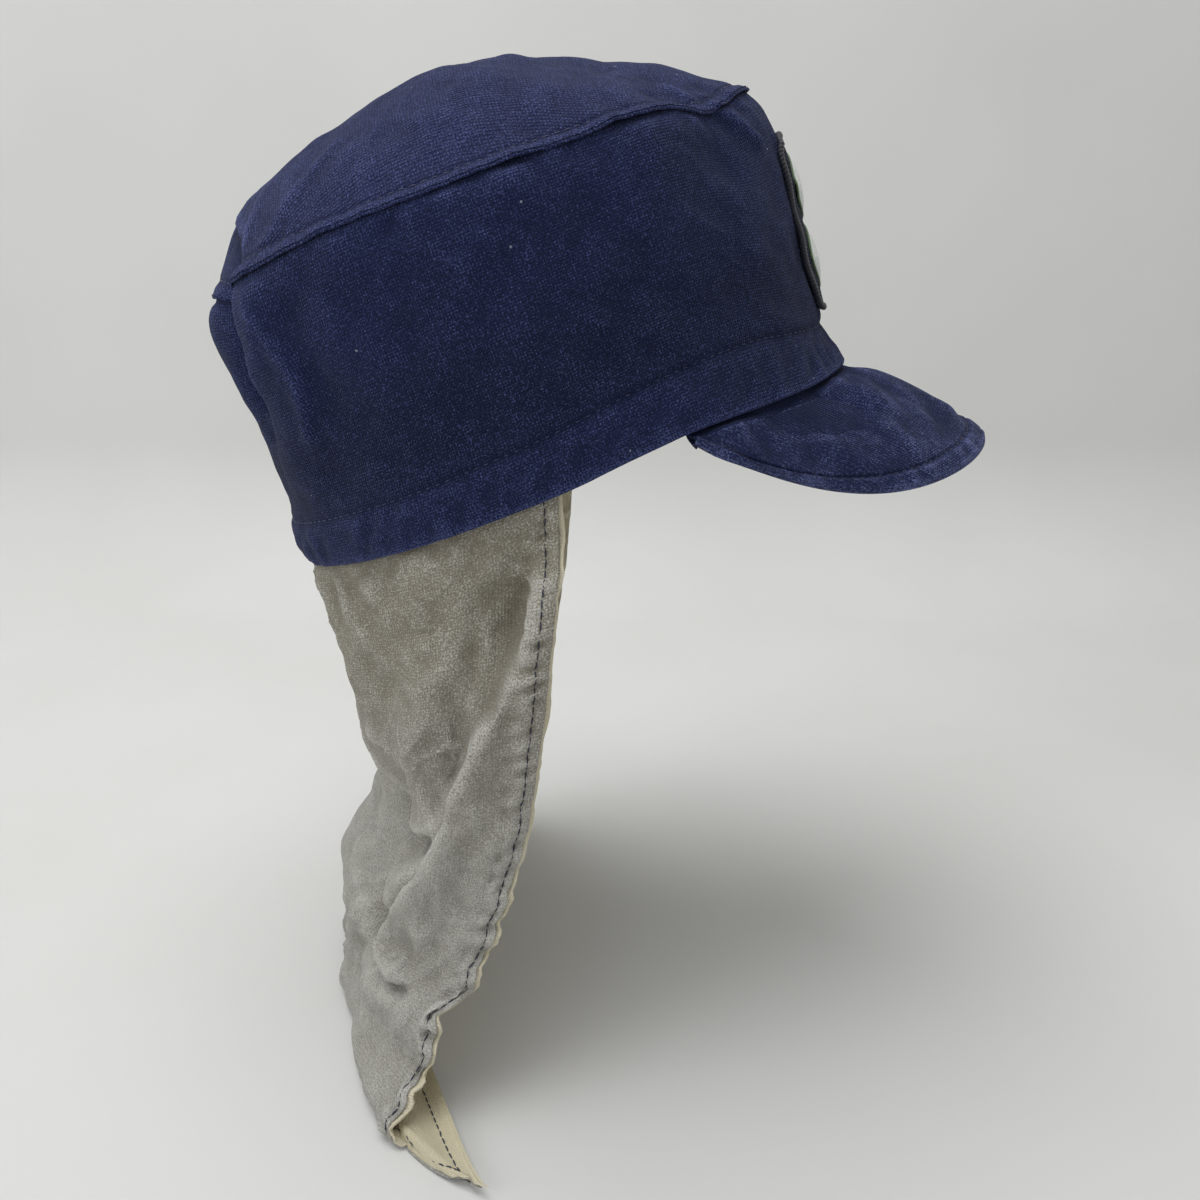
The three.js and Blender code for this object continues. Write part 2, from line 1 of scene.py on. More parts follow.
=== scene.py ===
"""A navy canvas sun hat with a short peak, a cloth badge and a grey neck flap, in the form it is worn.

Every piece of cloth is a sheet with its own thickness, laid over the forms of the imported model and
finished with the folds, puckers, turned hems and stitches of the real one. Sizes here are in
millimetres until a mesh is made, and the meshes are in metres. -Y is the front of the hat and -X
is the wearer's right, called the near side.
"""
import logging
import math
from dataclasses import dataclass
from enum import Enum
from typing import Any, Callable, Sequence

import bpy
import numpy as np
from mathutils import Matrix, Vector


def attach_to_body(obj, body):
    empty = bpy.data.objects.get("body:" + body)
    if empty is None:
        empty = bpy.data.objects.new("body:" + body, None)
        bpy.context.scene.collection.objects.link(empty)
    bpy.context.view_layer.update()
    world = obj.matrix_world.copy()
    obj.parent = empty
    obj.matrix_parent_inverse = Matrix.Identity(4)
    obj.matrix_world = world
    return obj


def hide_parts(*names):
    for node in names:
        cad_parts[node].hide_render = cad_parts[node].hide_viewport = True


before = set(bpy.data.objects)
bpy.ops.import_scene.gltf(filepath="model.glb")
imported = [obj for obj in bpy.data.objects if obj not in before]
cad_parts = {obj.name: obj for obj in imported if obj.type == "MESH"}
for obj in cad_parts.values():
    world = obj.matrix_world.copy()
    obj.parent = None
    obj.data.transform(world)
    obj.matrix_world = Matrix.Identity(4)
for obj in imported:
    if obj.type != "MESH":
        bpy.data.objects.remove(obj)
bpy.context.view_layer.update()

LOG = logging.getLogger("sun_hat")
MM = 0.001
TINY = 1e-9
UV_SPAN = 100.0

Grid = np.ndarray
Place = tuple[float, float]


# ---------------------------------------------------------------------------------------------
# Tables, folds and ripples: the short descriptions that the cloth is worked out from.


def ease(low: float, high: float, value: Grid) -> Grid:
    """Smooth step from 0 at low to 1 at high."""
    t = np.clip((value - low) / (high - low), 0, 1)
    return t * t * (3 - 2 * t)


def bump(value: Grid, middle: float, width: float) -> Grid:
    """Smooth bump of height 1 about a middle."""
    return np.exp(-(((value - middle) / width) ** 2))


def unit(vectors: Grid) -> Grid:
    """Vectors on the last axis, each made one long."""
    return vectors / np.maximum(np.linalg.norm(vectors, axis=-1, keepdims=True), TINY)


def curve(t: Grid, start: Grid, end: Grid, leaving: Grid, arriving: Grid) -> Grid:
    """Smooth curve over a share t, from a start to an end and by the slopes at both."""
    return (
        start * (1 + 2 * t) * (1 - t) ** 2
        + end * (3 - 2 * t) * t**2
        + leaving * t * (1 - t) ** 2
        + arriving * t**2 * (t - 1)
    )


def nearest_on(line: Grid, across: Grid, along: Grid) -> tuple[Grid, Grid, Grid]:
    """Find the nearest point of a line to each place on the cloth.

    Args:
        line: Points of the line, in order.
        across: First coordinates of the places.
        along: Second coordinates of the places.

    Returns:
        The distance, the number of the nearest stretch and the share of the way along it.
    """
    nearest = np.full(across.shape, np.inf)
    stretch = np.zeros(across.shape, dtype=int)
    share = np.zeros(across.shape)
    for number, ((x, y), (dx, dy)) in enumerate(zip(line, np.diff(line, axis=0))):
        on = np.clip(((across - x) * dx + (along - y) * dy) / (dx * dx + dy * dy), 0, 1)
        distance = np.hypot(across - x - on * dx, along - y - on * dy)
        closer = distance < nearest
        nearest = np.where(closer, distance, nearest)
        stretch = np.where(closer, number, stretch)
        share = np.where(closer, on, share)
    return nearest, stretch, share


def traced(route: Sequence[Place], across: Grid, along: Grid) -> tuple[Grid, Grid]:
    """Measure from a smooth route through its points on the cloth.

    Args:
        route: The points that the route goes through, in order.
        across: First coordinates of the places to measure from.
        along: Second coordinates of the places.

    Returns:
        The distance from the route, positive to the left of its heading when the first coordinate
        grows to the right and the second upward, and how far the place is from its nearer end.
    """
    points = np.array((route[0], *route, route[-1]))
    t = np.arange(0, 1, 1 / 6)[:, None]
    stretches = [
        curve(t, start, end, (end - before) / 2, (after - start) / 2)
        for before, start, end, after in zip(points, points[1:], points[2:], points[3:])
    ]
    line = np.concatenate((*stretches, points[-1:]))
    headings = np.diff(line, axis=0)
    steps = np.hypot(*headings.T)
    runs = np.concatenate(([0], np.cumsum(steps)))
    nearest, stretch, share = nearest_on(line, across, along)
    left = headings[stretch, 0] * (along - line[stretch, 1])
    left -= headings[stretch, 1] * (across - line[stretch, 0])
    run = runs[stretch] + share * steps[stretch]
    return nearest * np.sign(left), np.minimum(run, runs[-1] - run)


@dataclass(frozen=True)
class Table:
    """A short table with named columns, read along a smooth curve through its rows."""

    columns: tuple[str, ...]
    rows: tuple[tuple[float, ...], ...]

    def read(self, name: str, place: Grid) -> Grid:
        """Read one column at places on the table's first column.

        Args:
            name: The column to read.
            place: Where to read it, on the first column's scale.

        Returns:
            The column's values, in the shape of place.
        """
        keys = np.array([row[0] for row in self.rows])
        values = np.array([row[self.columns.index(name)] for row in self.rows])
        slopes = np.diff(values) / np.diff(keys)
        tangents = np.concatenate((slopes[:1], (slopes[:-1] + slopes[1:]) / 2, slopes[-1:]))
        held = np.clip(place, keys[0], keys[-1])
        row = np.clip(np.searchsorted(keys, held, side="right") - 1, 0, len(slopes) - 1)
        span = keys[row + 1] - keys[row]
        leaving, arriving = tangents[row] * span, tangents[row + 1] * span
        return curve((held - keys[row]) / span, values[row], values[row + 1], leaving, arriving)


@dataclass(frozen=True)
class Fold:
    """A fold that runs from one place by another to a third, all in millimetres on the cloth.

    It is raised by its lift, or sunk where that is negative, and fades over a width on each side.
    A sharpness of 2 is a soft fold and 1 is a creased one.
    """

    start: Place
    through: Place
    end: Place
    ahead: float
    behind: float
    lift: float
    sharpness: float = 2.0
    segments: int = 16
    end_shape: float = 0.6

    def relief(self, across: Grid, along: Grid) -> Grid:
        """How far the fold raises the cloth at each place, in millimetres."""
        t = np.linspace(0, 1, self.segments + 1)[:, None]
        corners = [np.array(place) for place in (self.start, self.through, self.end)]
        route = corners[0] * (1 - t) ** 2 + 2 * corners[1] * t * (1 - t) + corners[2] * t**2
        nearest, stretch, share = nearest_on(route, across, along)
        side = across - route[stretch, 0] - share * np.diff(route[:, 0])[stretch]
        width = np.where(side < 0, self.ahead, self.behind)
        ends = np.sin(np.pi * np.clip((stretch + share) / self.segments, 0, 1)) ** self.end_shape
        return self.lift * np.exp(-((nearest / width) ** self.sharpness)) * ends


@dataclass(frozen=True)
class Lap:
    """Cloth that stands over its neighbour along a route: raised to its left, sunk to its right."""

    route: tuple[Place, ...]
    lift: float
    over: float
    sink: float
    under: float
    edge: float = 1.5
    fade: float = 12.0

    def relief(self, across: Grid, along: Grid) -> Grid:
        """How far the lap raises the cloth at each place, in millimetres."""
        side, run = traced(self.route, across, along)
        over = ease(-self.edge, self.edge, side)
        raised = self.lift * over * bump(np.maximum(side, 0), 0, self.over)
        sunk = self.sink * (1 - over) * bump(np.minimum(side, 0), 0, self.under)
        return (raised - sunk) * ease(0, self.fade, run)


@dataclass(frozen=True)
class Crease:
    """A narrow ridge along a route, or a valley where its lift is negative."""

    route: tuple[Place, ...]
    lift: float
    width: float
    fade: float = 8.0
    sharpness: float = 1.6

    def relief(self, across: Grid, along: Grid) -> Grid:
        """How far the crease raises the cloth at each place, in millimetres."""
        side, run = traced(self.route, across, along)
        ridge = np.exp(-((np.abs(side) / self.width) ** self.sharpness))
        return self.lift * ridge * ease(0, self.fade, run)


@dataclass(frozen=True)
class Ripple:
    """Seeded, smooth unevenness of cloth: waves of about one length in every direction."""

    length: float
    height: float
    seed: int
    stretch: float = 1.0
    turn: float = 0.0
    waves: int = 14

    def relief(self, across: Grid, along: Grid) -> Grid:
        """Height of the ripple at places on the cloth, in millimetres."""
        random = np.random.default_rng(self.seed)
        c, s = math.cos(math.radians(self.turn)), math.sin(math.radians(self.turn))
        x = across * c + along * s
        y = (along * c - across * s) / self.stretch
        total = np.zeros(across.shape)
        for _ in range(self.waves):
            heading = random.uniform(0, math.pi)
            number = 2 * math.pi / (self.length * random.uniform(0.7, 1.5))
            phase = random.uniform(0, 2 * math.pi)
            total += np.sin(number * (x * math.cos(heading) + y * math.sin(heading)) + phase)
        return self.height * total / math.sqrt(self.waves)

    def creases(self, across: Grid, along: Grid) -> Grid:
        """Fine raised lines where the ripple crosses zero, in millimetres."""
        smooth = self.relief(across, along) / self.height
        other = Ripple(self.length * 1.7, 1.0, self.seed + 50).relief(across, along)
        return self.height * bump(smooth, 0, 0.16) * ease(0.1, 1.2, other)


Shape = Fold | Lap | Crease | Ripple


def folded(shapes: Sequence[Shape], across: Grid, along: Grid) -> Grid:
    """Sum of the lifts of folds, laps, creases and ripples at places on a cloth, in millimetres."""
    return sum((shape.relief(across, along) for shape in shapes), np.zeros(across.shape))


# ---------------------------------------------------------------------------------------------
# Finishes.

Socket = bpy.types.NodeSocket
RANGE = ("Value", "From Min", "From Max", "To Min", "To Max")


def linear(hex_colour: str) -> tuple[float, float, float, float]:
    """Turn an sRGB hex colour into Blender's linear one."""
    parts = [int(hex_colour[i : i + 2], 16) / 255 for i in (1, 3, 5)]
    low, knee, power = 12.92, 0.04045, 2.4
    red, green, blue = (p / low if p <= knee else ((p + 0.055) / 1.055) ** power for p in parts)
    return (red, green, blue, 1.0)


def add_node(
    tree: bpy.types.NodeTree,
    kind: str,
    inputs: dict[str | int, Any] | None = None,
    out: str | int = 0,
    **settings: Any,
) -> Socket | None:
    """Add a node with its settings, its values and its links.

    Args:
        tree: The tree that the node goes in.
        kind: The node's type, without the word ShaderNode.
        inputs: A value or an output socket for each input, by its name or number.
        out: The output to hand back, by its name or number.
        **settings: Properties of the node.

    Returns:
        The chosen output, or None from a node that has no outputs.
    """
    node = tree.nodes.new("ShaderNode" + kind)
    for name, value in settings.items():
        setattr(node, name, value)
    for name, value in (inputs or {}).items():
        if isinstance(value, Socket):
            tree.links.new(value, node.inputs[name])
        else:
            node.inputs[name].default_value = value
    return node.outputs[out] if len(node.outputs) else None


def blank(name: str) -> tuple[bpy.types.Material, bpy.types.NodeTree]:
    """Make a material with no nodes in it, and give its tree too."""
    material = bpy.data.materials.new(name)
    material.use_nodes = True
    material.node_tree.nodes.clear()
    return material, material.node_tree


def surfaced(tree: bpy.types.NodeTree, inputs: dict[str, Any]) -> None:
    """End a material's nodes with a surface that has these inputs."""
    add_node(tree, "OutputMaterial", {"Surface": add_node(tree, "BsdfPrincipled", inputs)})


def layered(
    tree: bpy.types.NodeTree, base: str, layers: Sequence[tuple[Socket, tuple[float, ...], str]]
) -> Socket:
    """Lay colours over one another.

    Args:
        tree: The material's nodes.
        base: The colour that is under all the others.
        layers: For each one, the value that lays it, the range that the value is taken from, the
            range of shares that it is taken to, and the colour.

    Returns:
        The colour on top.
    """
    colour: Any = linear(base)
    for value, limits, tone in layers:
        share = add_node(tree, "MapRange", dict(zip(RANGE, (value, *limits))))
        colour = add_node(tree, "Mix", {0: share, 6: colour, 7: linear(tone)}, 2, data_type="RGBA")
    return colour


@dataclass(frozen=True)
class WovenFinish:
    """Dyed cotton cloth: a plain weave whose colour has worn off what stands proud, with painted light
    on what stands proud and painted shade in its hollows.

    A piece's attribute for wear and shade is 0.5 on even cloth, more on ridges and edges and less in
    hollows: real wear on ridges and edges, with painted light on ridges and painted shade in hollows.
    Its attribute for the fall of tone runs from 0 to 1 down the cloth's length: painted shade low on
    the side band, and on the neck flap a real change of tone with painted light lower down.
    """

    name: str
    body: str
    deep: str
    worn: str
    fallen_tone_and_shading: str
    thread_mm: float
    weave: float
    nap: float
    fleck: float
    wear_and_shade_gain: float
    lint: float = 0.0
    patchy: float = 0.5
    cloudy: float = 0.25
    crumple: float = 0.6
    roughness: float = 0.95
    specular: float = 0.15
    sheen: float = 0.06
    sheen_roughness: float = 0.45
    patch_mm: float = 45.0
    cloud_mm: float = 9.0
    fleck_mm: float = 0.55
    lint_mm: float = 13.0
    lint_colour: str = "#aeb2c4"
    nap_mm: float = 0.9
    crumple_mm: float = 6.0
    bump_mm: float = 0.45

    def material(self) -> bpy.types.Material:
        """Build the cloth's material."""
        material, tree = blank(self.name)
        place = add_node(tree, "TexCoord", out="Object")
        weave = self._weave(tree)
        surfaced(
            tree,
            {
                "Base Color": self._dye(tree, place, weave),
                "Roughness": self.roughness,
                "Specular IOR Level": self.specular,
                "Sheen Weight": self.sheen,
                "Sheen Roughness": self.sheen_roughness,
                "Normal": self._surface(tree, place, weave),
            },
        )
        return material

    def _weave(self, tree: bpy.types.NodeTree) -> Socket:
        """Plain weave from 0 between the threads to 1 on them, drawn a little coarser than life."""
        bands = 2 * math.pi / 20 * UV_SPAN / self.thread_mm
        place = add_node(tree, "TexCoord", out="UV")
        thread = {"Vector": place, "Scale": bands, "Distortion": 1.2, "Detail": 2.0, "Detail Scale": 1.5}
        warp, weft = (
            add_node(tree, "TexWave", thread, "Fac", bands_direction=way) for way in ("X", "Y")
        )
        return add_node(tree, "Math", {0: warp, 1: weft}, operation="MULTIPLY")

    def _dye(self, tree: bpy.types.NodeTree, place: Socket, weave: Socket) -> Socket:
        """Colour of the dyed and faded cloth, with its painted light and shade.

        Args:
            tree: The material's nodes.
            place: Object coordinates, in metres.
            weave: The weave's height.

        Returns:
            The colour.
        """
        patches, clouds, flecks = (
            add_node(
                tree,
                "TexNoise",
                {"Vector": place, "Scale": 1 / (size * MM), "Detail": detail, "Roughness": roughness},
            )
            for size, detail, roughness in (
                (self.patch_mm, 3.0, 0.6),
                (self.cloud_mm, 4.0, 0.65),
                (self.fleck_mm, 2.0, 0.7),
            )
        )
        fall_tone_and_shading, wear_and_shade = (
            add_node(tree, "Attribute", out="Fac", attribute_name=name) for name in ("fall_tone_and_shading", "wear_and_shade")
        )
        # Real wear, random clouds, flecks and the weave, with the painted light of ridges and the
        # painted shade of hollows that the attribute for wear and shade carries.
        rubbed_and_shaded: Any = 0.0
        for value, low, high, gain in (
            (wear_and_shade, 0, 1, self.wear_and_shade_gain),
            (clouds, 0.3, 0.7, self.cloudy),
            (flecks, 0.3, 0.7, self.fleck),
            (weave, 0, 0.6, 0.6 * self.weave),
        ):
            sway = add_node(tree, "MapRange", dict(zip(RANGE, (value, low, high, -0.5, 0.5))))
            rubbed_and_shaded = add_node(tree, "Math", {0: sway, 1: gain, 2: rubbed_and_shaded}, operation="MULTIPLY_ADD")
        # Above zero the worn tone shows real wear and painted light on ridges; below zero the deep tone
        # is painted shade in hollows. The fall tone carries painted shade on the side band and painted
        # light on the neck flap.
        layers = [
            (fall_tone_and_shading, (0, 1, 0, 1), self.fallen_tone_and_shading),
            (patches, (0.36, 0.66, 0, self.patchy), self.deep),
            (rubbed_and_shaded, (0, 1, 0, 1), self.worn),
            (rubbed_and_shaded, (-1, 0, 0.55, 0), self.deep),
        ]
        if self.lint > 0:
            specks = {"Vector": place, "Scale": 1 / (self.lint_mm * MM), "Randomness": 1.0}
            nearest = add_node(tree, "TexVoronoi", specks, "Distance")
            layers.append((nearest, (0.02, 0.035, self.lint, 0), self.lint_colour))
        return layered(tree, self.body, layers)

    def _surface(self, tree: bpy.types.NodeTree, place: Socket, weave: Socket) -> Socket:
        """Normal of the weave, its nap and its small crumples.

        Args:
            tree: The material's nodes.
            place: Object coordinates, in metres.
            weave: The weave's height.

        Returns:
            The normal.
        """
        fibre = {"Vector": place, "Scale": 1 / (self.nap_mm * MM), "Detail": 4.0, "Roughness": 0.7}
        crush = {"Vector": place, "Scale": 1 / (self.crumple_mm * MM), "Detail": 2.0, "Distortion": 0.6}
        nap, crumple = (add_node(tree, "TexNoise", grain) for grain in (fibre, crush))
        height: Any = 0.0
        for value, gain in ((crumple, 3 * self.crumple), (nap, self.nap), (weave, self.weave)):
            height = add_node(tree, "Math", {0: value, 1: gain, 2: height}, operation="MULTIPLY_ADD")
        inputs = {"Height": height, "Strength": 0.8, "Distance": self.bump_mm * MM}
        return add_node(tree, "Bump", inputs)


@dataclass(frozen=True)
class ThreadFinish:
    """Spun sewing or embroidery thread: a soft gloss broken up by its twist."""

    name: str
    body: str
    deep: str
    roughness: float = 0.6
    sheen: float = 0.3
    twist_mm: float = 0.6
    bump_mm: float = 0.2

    def material(self) -> bpy.types.Material:
        """Build the thread's material."""
        material, tree = blank(self.name)
        place = add_node(tree, "TexCoord", out="Object")
        twist = {"Vector": place, "Scale": 1 / (self.twist_mm * MM), "Detail": 3.0, "Roughness": 0.7}
        noise = add_node(tree, "TexNoise", twist)
        raised = {"Height": noise, "Strength": 0.5, "Distance": self.bump_mm * MM}
        surfaced(
            tree,
            {
                "Base Color": layered(tree, self.deep, [(noise, (0.35, 0.65, 0, 1), self.body)]),
                "Roughness": self.roughness,
                "Sheen Weight": self.sheen,
                "Normal": add_node(tree, "Bump", raised),
            },
        )
        return material


@dataclass(frozen=True)
class PaintedFinish:
    """A plain matt painted surface, for the studio."""

    name: str
    body: str
    deep: str
    patch_mm: float = 260.0
    roughness: float = 0.85

    def material(self) -> bpy.types.Material:
        """Build the paint's material."""
        material, tree = blank(self.name)
        place = add_node(tree, "TexCoord", out="Object")
        cloud = {"Vector": place, "Scale": 1 / (self.patch_mm * MM), "Detail": 3.0}
        noise = add_node(tree, "TexNoise", cloud)
        colour = layered(tree, self.deep, [(noise, (0.35, 0.65, 0, 1), self.body)])
        surfaced(tree, {"Base Color": colour, "Roughness": self.roughness})
        return material


class Finish(Enum):
    """The finishes of the hat and its studio."""

    # Navy cotton canvas, garment washed: fades to slate where it is rubbed, and picks up lint. Its
    # darker fall tone is painted shade, low on the side band.
    NAVY_CANVAS = WovenFinish(
        "navy_cotton_canvas", body="#20294d", deep="#121831", worn="#505a8c", fallen_tone_and_shading="#171e3a",
        thread_mm=0.9, weave=0.8, nap=0.8, fleck=1.7, wear_and_shade_gain=1.5, lint=0.6, patchy=0.4, cloudy=0.1,
    )
    # The same canvas on the top, which the sun has faded most.
    FADED_CANVAS = WovenFinish(
        "faded_navy_canvas", body="#1e2649", deep="#151a38", worn="#525b8d", fallen_tone_and_shading="#1e2649",
        thread_mm=0.9, weave=0.8, nap=0.8, fleck=1.7, wear_and_shade_gain=1.5, lint=0.5, patchy=0.45, cloudy=0.2,
    )
    # The peak is one tone between the two, and worn in patches, with strong painted shade in its dents
    # and painted light on their rises.
    PEAK_CANVAS = WovenFinish(
        "peak_navy_canvas", body="#212a4e", deep="#141934", worn="#666f9f", fallen_tone_and_shading="#212a4e",
        thread_mm=0.9, weave=0.7, nap=0.8, fleck=1.5, wear_and_shade_gain=2.1, lint=0.4, patchy=0.5, cloudy=0.75,
        crumple=1.0,
    )
    # Brushed cotton, overdyed grey: warm by the hem, cooler below, with a short nap. The lighter tone
    # below is partly painted light.
    GREY_COTTON = WovenFinish(
        "brushed_grey_cotton", body="#928c7d", deep="#726c5f", worn="#c8c7c0", fallen_tone_and_shading="#abaaa4",
        thread_mm=1.0, weave=0.6, nap=1.3, fleck=2.0, wear_and_shade_gain=1.3, patchy=0.22, cloudy=0.24,
        crumple=1.2, sheen=0.1,
    )
    # Undyed cotton sheeting: cream, plain and flat.
    CREAM_LINING = WovenFinish(
        "cream_cotton_lining", body="#d6ceb3", deep="#c0b798", worn="#f0eada", fallen_tone_and_shading="#d6ceb3",
        thread_mm=0.7, weave=0.5, nap=0.4, fleck=0.35, wear_and_shade_gain=0.6,
    )
    # Dark polyester twill under the embroidery.
    BADGE_TWILL = WovenFinish(
        "badge_twill", body="#1a1f33", deep="#10131f", worn="#3a4058", fallen_tone_and_shading="#1a1f33",
        thread_mm=0.8, weave=0.8, nap=0.4, fleck=0.5, wear_and_shade_gain=0.8,
    )
    NAVY_THREAD = ThreadFinish("navy_sewing_thread", "#1d2340", "#11152a")
    FADED_THREAD = ThreadFinish("faded_sewing_thread", "#343b66", "#1c2142")
    WHITE_THREAD = ThreadFinish("off_white_embroidery", "#eef1ea", "#c2c8c0", 0.5)
    GREEN_THREAD = ThreadFinish("green_embroidery", "#5d7a4b", "#3d5433", 0.5)
    DARK_THREAD = ThreadFinish("dark_overlock_thread", "#15182a", "#0b0d18", 0.6)
    FLOOR_PAINT = PaintedFinish("pale_floor", "#dfdfdd", "#dadad7")


MATERIALS: dict[Finish, bpy.types.Material] = {}


def dress(piece: bpy.types.Object, *finishes: Finish) -> None:
    """Give a piece its finishes, each of which is built once."""
    for finish in finishes:
        if finish not in MATERIALS:
            MATERIALS[finish] = finish.value.material()
        piece.data.materials.append(MATERIALS[finish])


# ---------------------------------------------------------------------------------------------
# Meshes of cloth.


def choose(piece: bpy.types.Object) -> None:
    """Select one object alone and make it active."""
    bpy.ops.object.select_all(action="DESELECT")
    piece.select_set(True)
    bpy.context.view_layer.objects.active = piece


def new_piece(name: str, points: Grid, faces: list[list[int]]) -> bpy.types.Object:
    """Make an object of points in millimetres with the faces between them, and choose it."""
    mesh = bpy.data.meshes.new(name)
    mesh.from_pydata((points.reshape(-1, 3) * MM).tolist(), [], faces)
    piece = bpy.data.objects.new(name, mesh)
    bpy.context.scene.collection.objects.link(piece)
    choose(piece)
    return piece


def attach(piece: bpy.types.Object, finish: Finish) -> None:
    """Dress a piece and fix it to the hat's one body."""
    dress(piece, finish)
    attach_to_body(piece, "root")


def proud(points: Grid, wraps: bool, reach: int, way: float = 1.0) -> Grid:
    """How far each point of a grid stands out from its surroundings, in millimetres.

    Args:
        points: Grid of points, rows by columns by three.
        wraps: Whether the last column meets the first.
        reach: How many neighbours away the surroundings are.
        way: 1 where grid_normals points outward, and -1 where it points inward.

    Returns:
        Distance outward, rows by columns.
    """
    mode = "wrap" if wraps else "edge"
    smooth = points
    for _ in range(2):
        wide = np.pad(smooth, ((reach, reach), (0, 0), (0, 0)), mode="edge")
        wide = np.pad(wide, ((0, 0), (reach, reach), (0, 0)), mode=mode)
        total = np.zeros(points.shape)
        for step in range(-reach, reach + 1):
            total += wide[reach + step : reach + step + points.shape[0], reach:-reach]
            total += wide[reach:-reach, reach + step : reach + step + points.shape[1]]
        smooth = total / (4 * reach + 2)
    return way * np.einsum("ijk,ijk->ij", points - smooth, grid_normals(points, wraps))


def grid_normals(points: Grid, wraps: bool) -> Grid:
    """Unit normals of a grid, on the side that across turned to along points to."""
    if wraps:
        across = np.roll(points, -1, axis=1) - np.roll(points, 1, axis=1)
    else:
        across = np.gradient(points, axis=1)
    return unit(np.cross(across, np.gradient(points, axis=0)))


@dataclass
class ClothMesh:
    """A sheet laid out as a grid of points, which becomes one closed body with its thickness.

    The rows' heading turned to the columns' points outward, or inward where it is mirrored.
    """

    name: str
    points: Grid
    flat: Grid
    thickness: float
    wraps: bool = False
    pole: bool = False
    wear_and_shade: Grid | None = None
    fall_tone_and_shading: Grid | None = None
    rounding: float = 0.35
    mirrored: bool = False
    smooth_to: float = math.radians(70)
    round_from: float = math.radians(75)

    def build(self) -> bpy.types.Object:
        """Make the sheet's object: its surface, then its thickness, then its rounded edges."""
        rows, columns = self.points.shape[:2]
        spans = columns if self.wraps else columns - 1
        row, column = np.meshgrid(np.arange(rows - 1), np.arange(spans), indexing="ij")
        corners = [(row, column), (row + 1, column), (row + 1, column + 1), (row, column + 1)]
        if self.mirrored:
            corners.reverse()
        faces = np.stack([r * columns + c % columns for r, c in corners], axis=-1).reshape(-1, 4)
        places = np.stack([np.stack([r, c], axis=-1) for r, c in corners], axis=2).reshape(-1, 2)
        piece = new_piece(self.name, self.points, faces.tolist())
        mesh = piece.data
        layout = mesh.uv_layers.new(name="UVMap")
        spot = self.flat[places[:, 0], places[:, 1]] / UV_SPAN
        layout.data.foreach_set("uv", spot.astype(np.float32).ravel())
        # These attributes carry painted light and shade as well as real wear and tone.
        for label, values, still in (("wear_and_shade", self.wear_and_shade, 0.5), ("fall_tone_and_shading", self.fall_tone_and_shading, 0.0)):
            tone = mesh.attributes.new(label, "FLOAT", "POINT")
            held = np.full(rows * columns, still) if values is None else np.clip(values, 0, 1).ravel()
            tone.data.foreach_set("value", held.astype(np.float32))
        bpy.ops.object.mode_set(mode="EDIT")
        bpy.ops.mesh.select_all(action="SELECT")
        if self.pole:
            bpy.ops.mesh.remove_doubles(threshold=0.02 * MM)
        bpy.ops.object.mode_set(mode="OBJECT")
        self._thicken(piece)
        bpy.ops.object.shade_smooth_by_angle(angle=self.smooth_to)
        return piece

    def _thicken(self, piece: bpy.types.Object) -> None:
        """Give the surface its thickness inward, with the cut edges rounded."""
        wall = piece.modifiers.new("thickness", "SOLIDIFY")
        wall.thickness = self.thickness * MM
        wall.offset = -1
        bpy.ops.object.modifier_apply(modifier=wall.name)
        if self.rounding <= 0:
            return
        edge = piece.modifiers.new("turned edge", "BEVEL")
        edge.width = self.rounding * self.thickness * MM
        edge.segments = 2
        edge.limit_method = "ANGLE"
        edge.angle_limit = self.round_from
        bpy.ops.object.modifier_apply(modifier=edge.name)


def read_along(values: Grid, runs: Grid, places: Grid) -> Grid:
    """Read vectors that are given along a line's run, at other places on that run."""
    return np.stack([np.interp(places, runs, values[:, axis]) for axis in range(3)], axis=1)


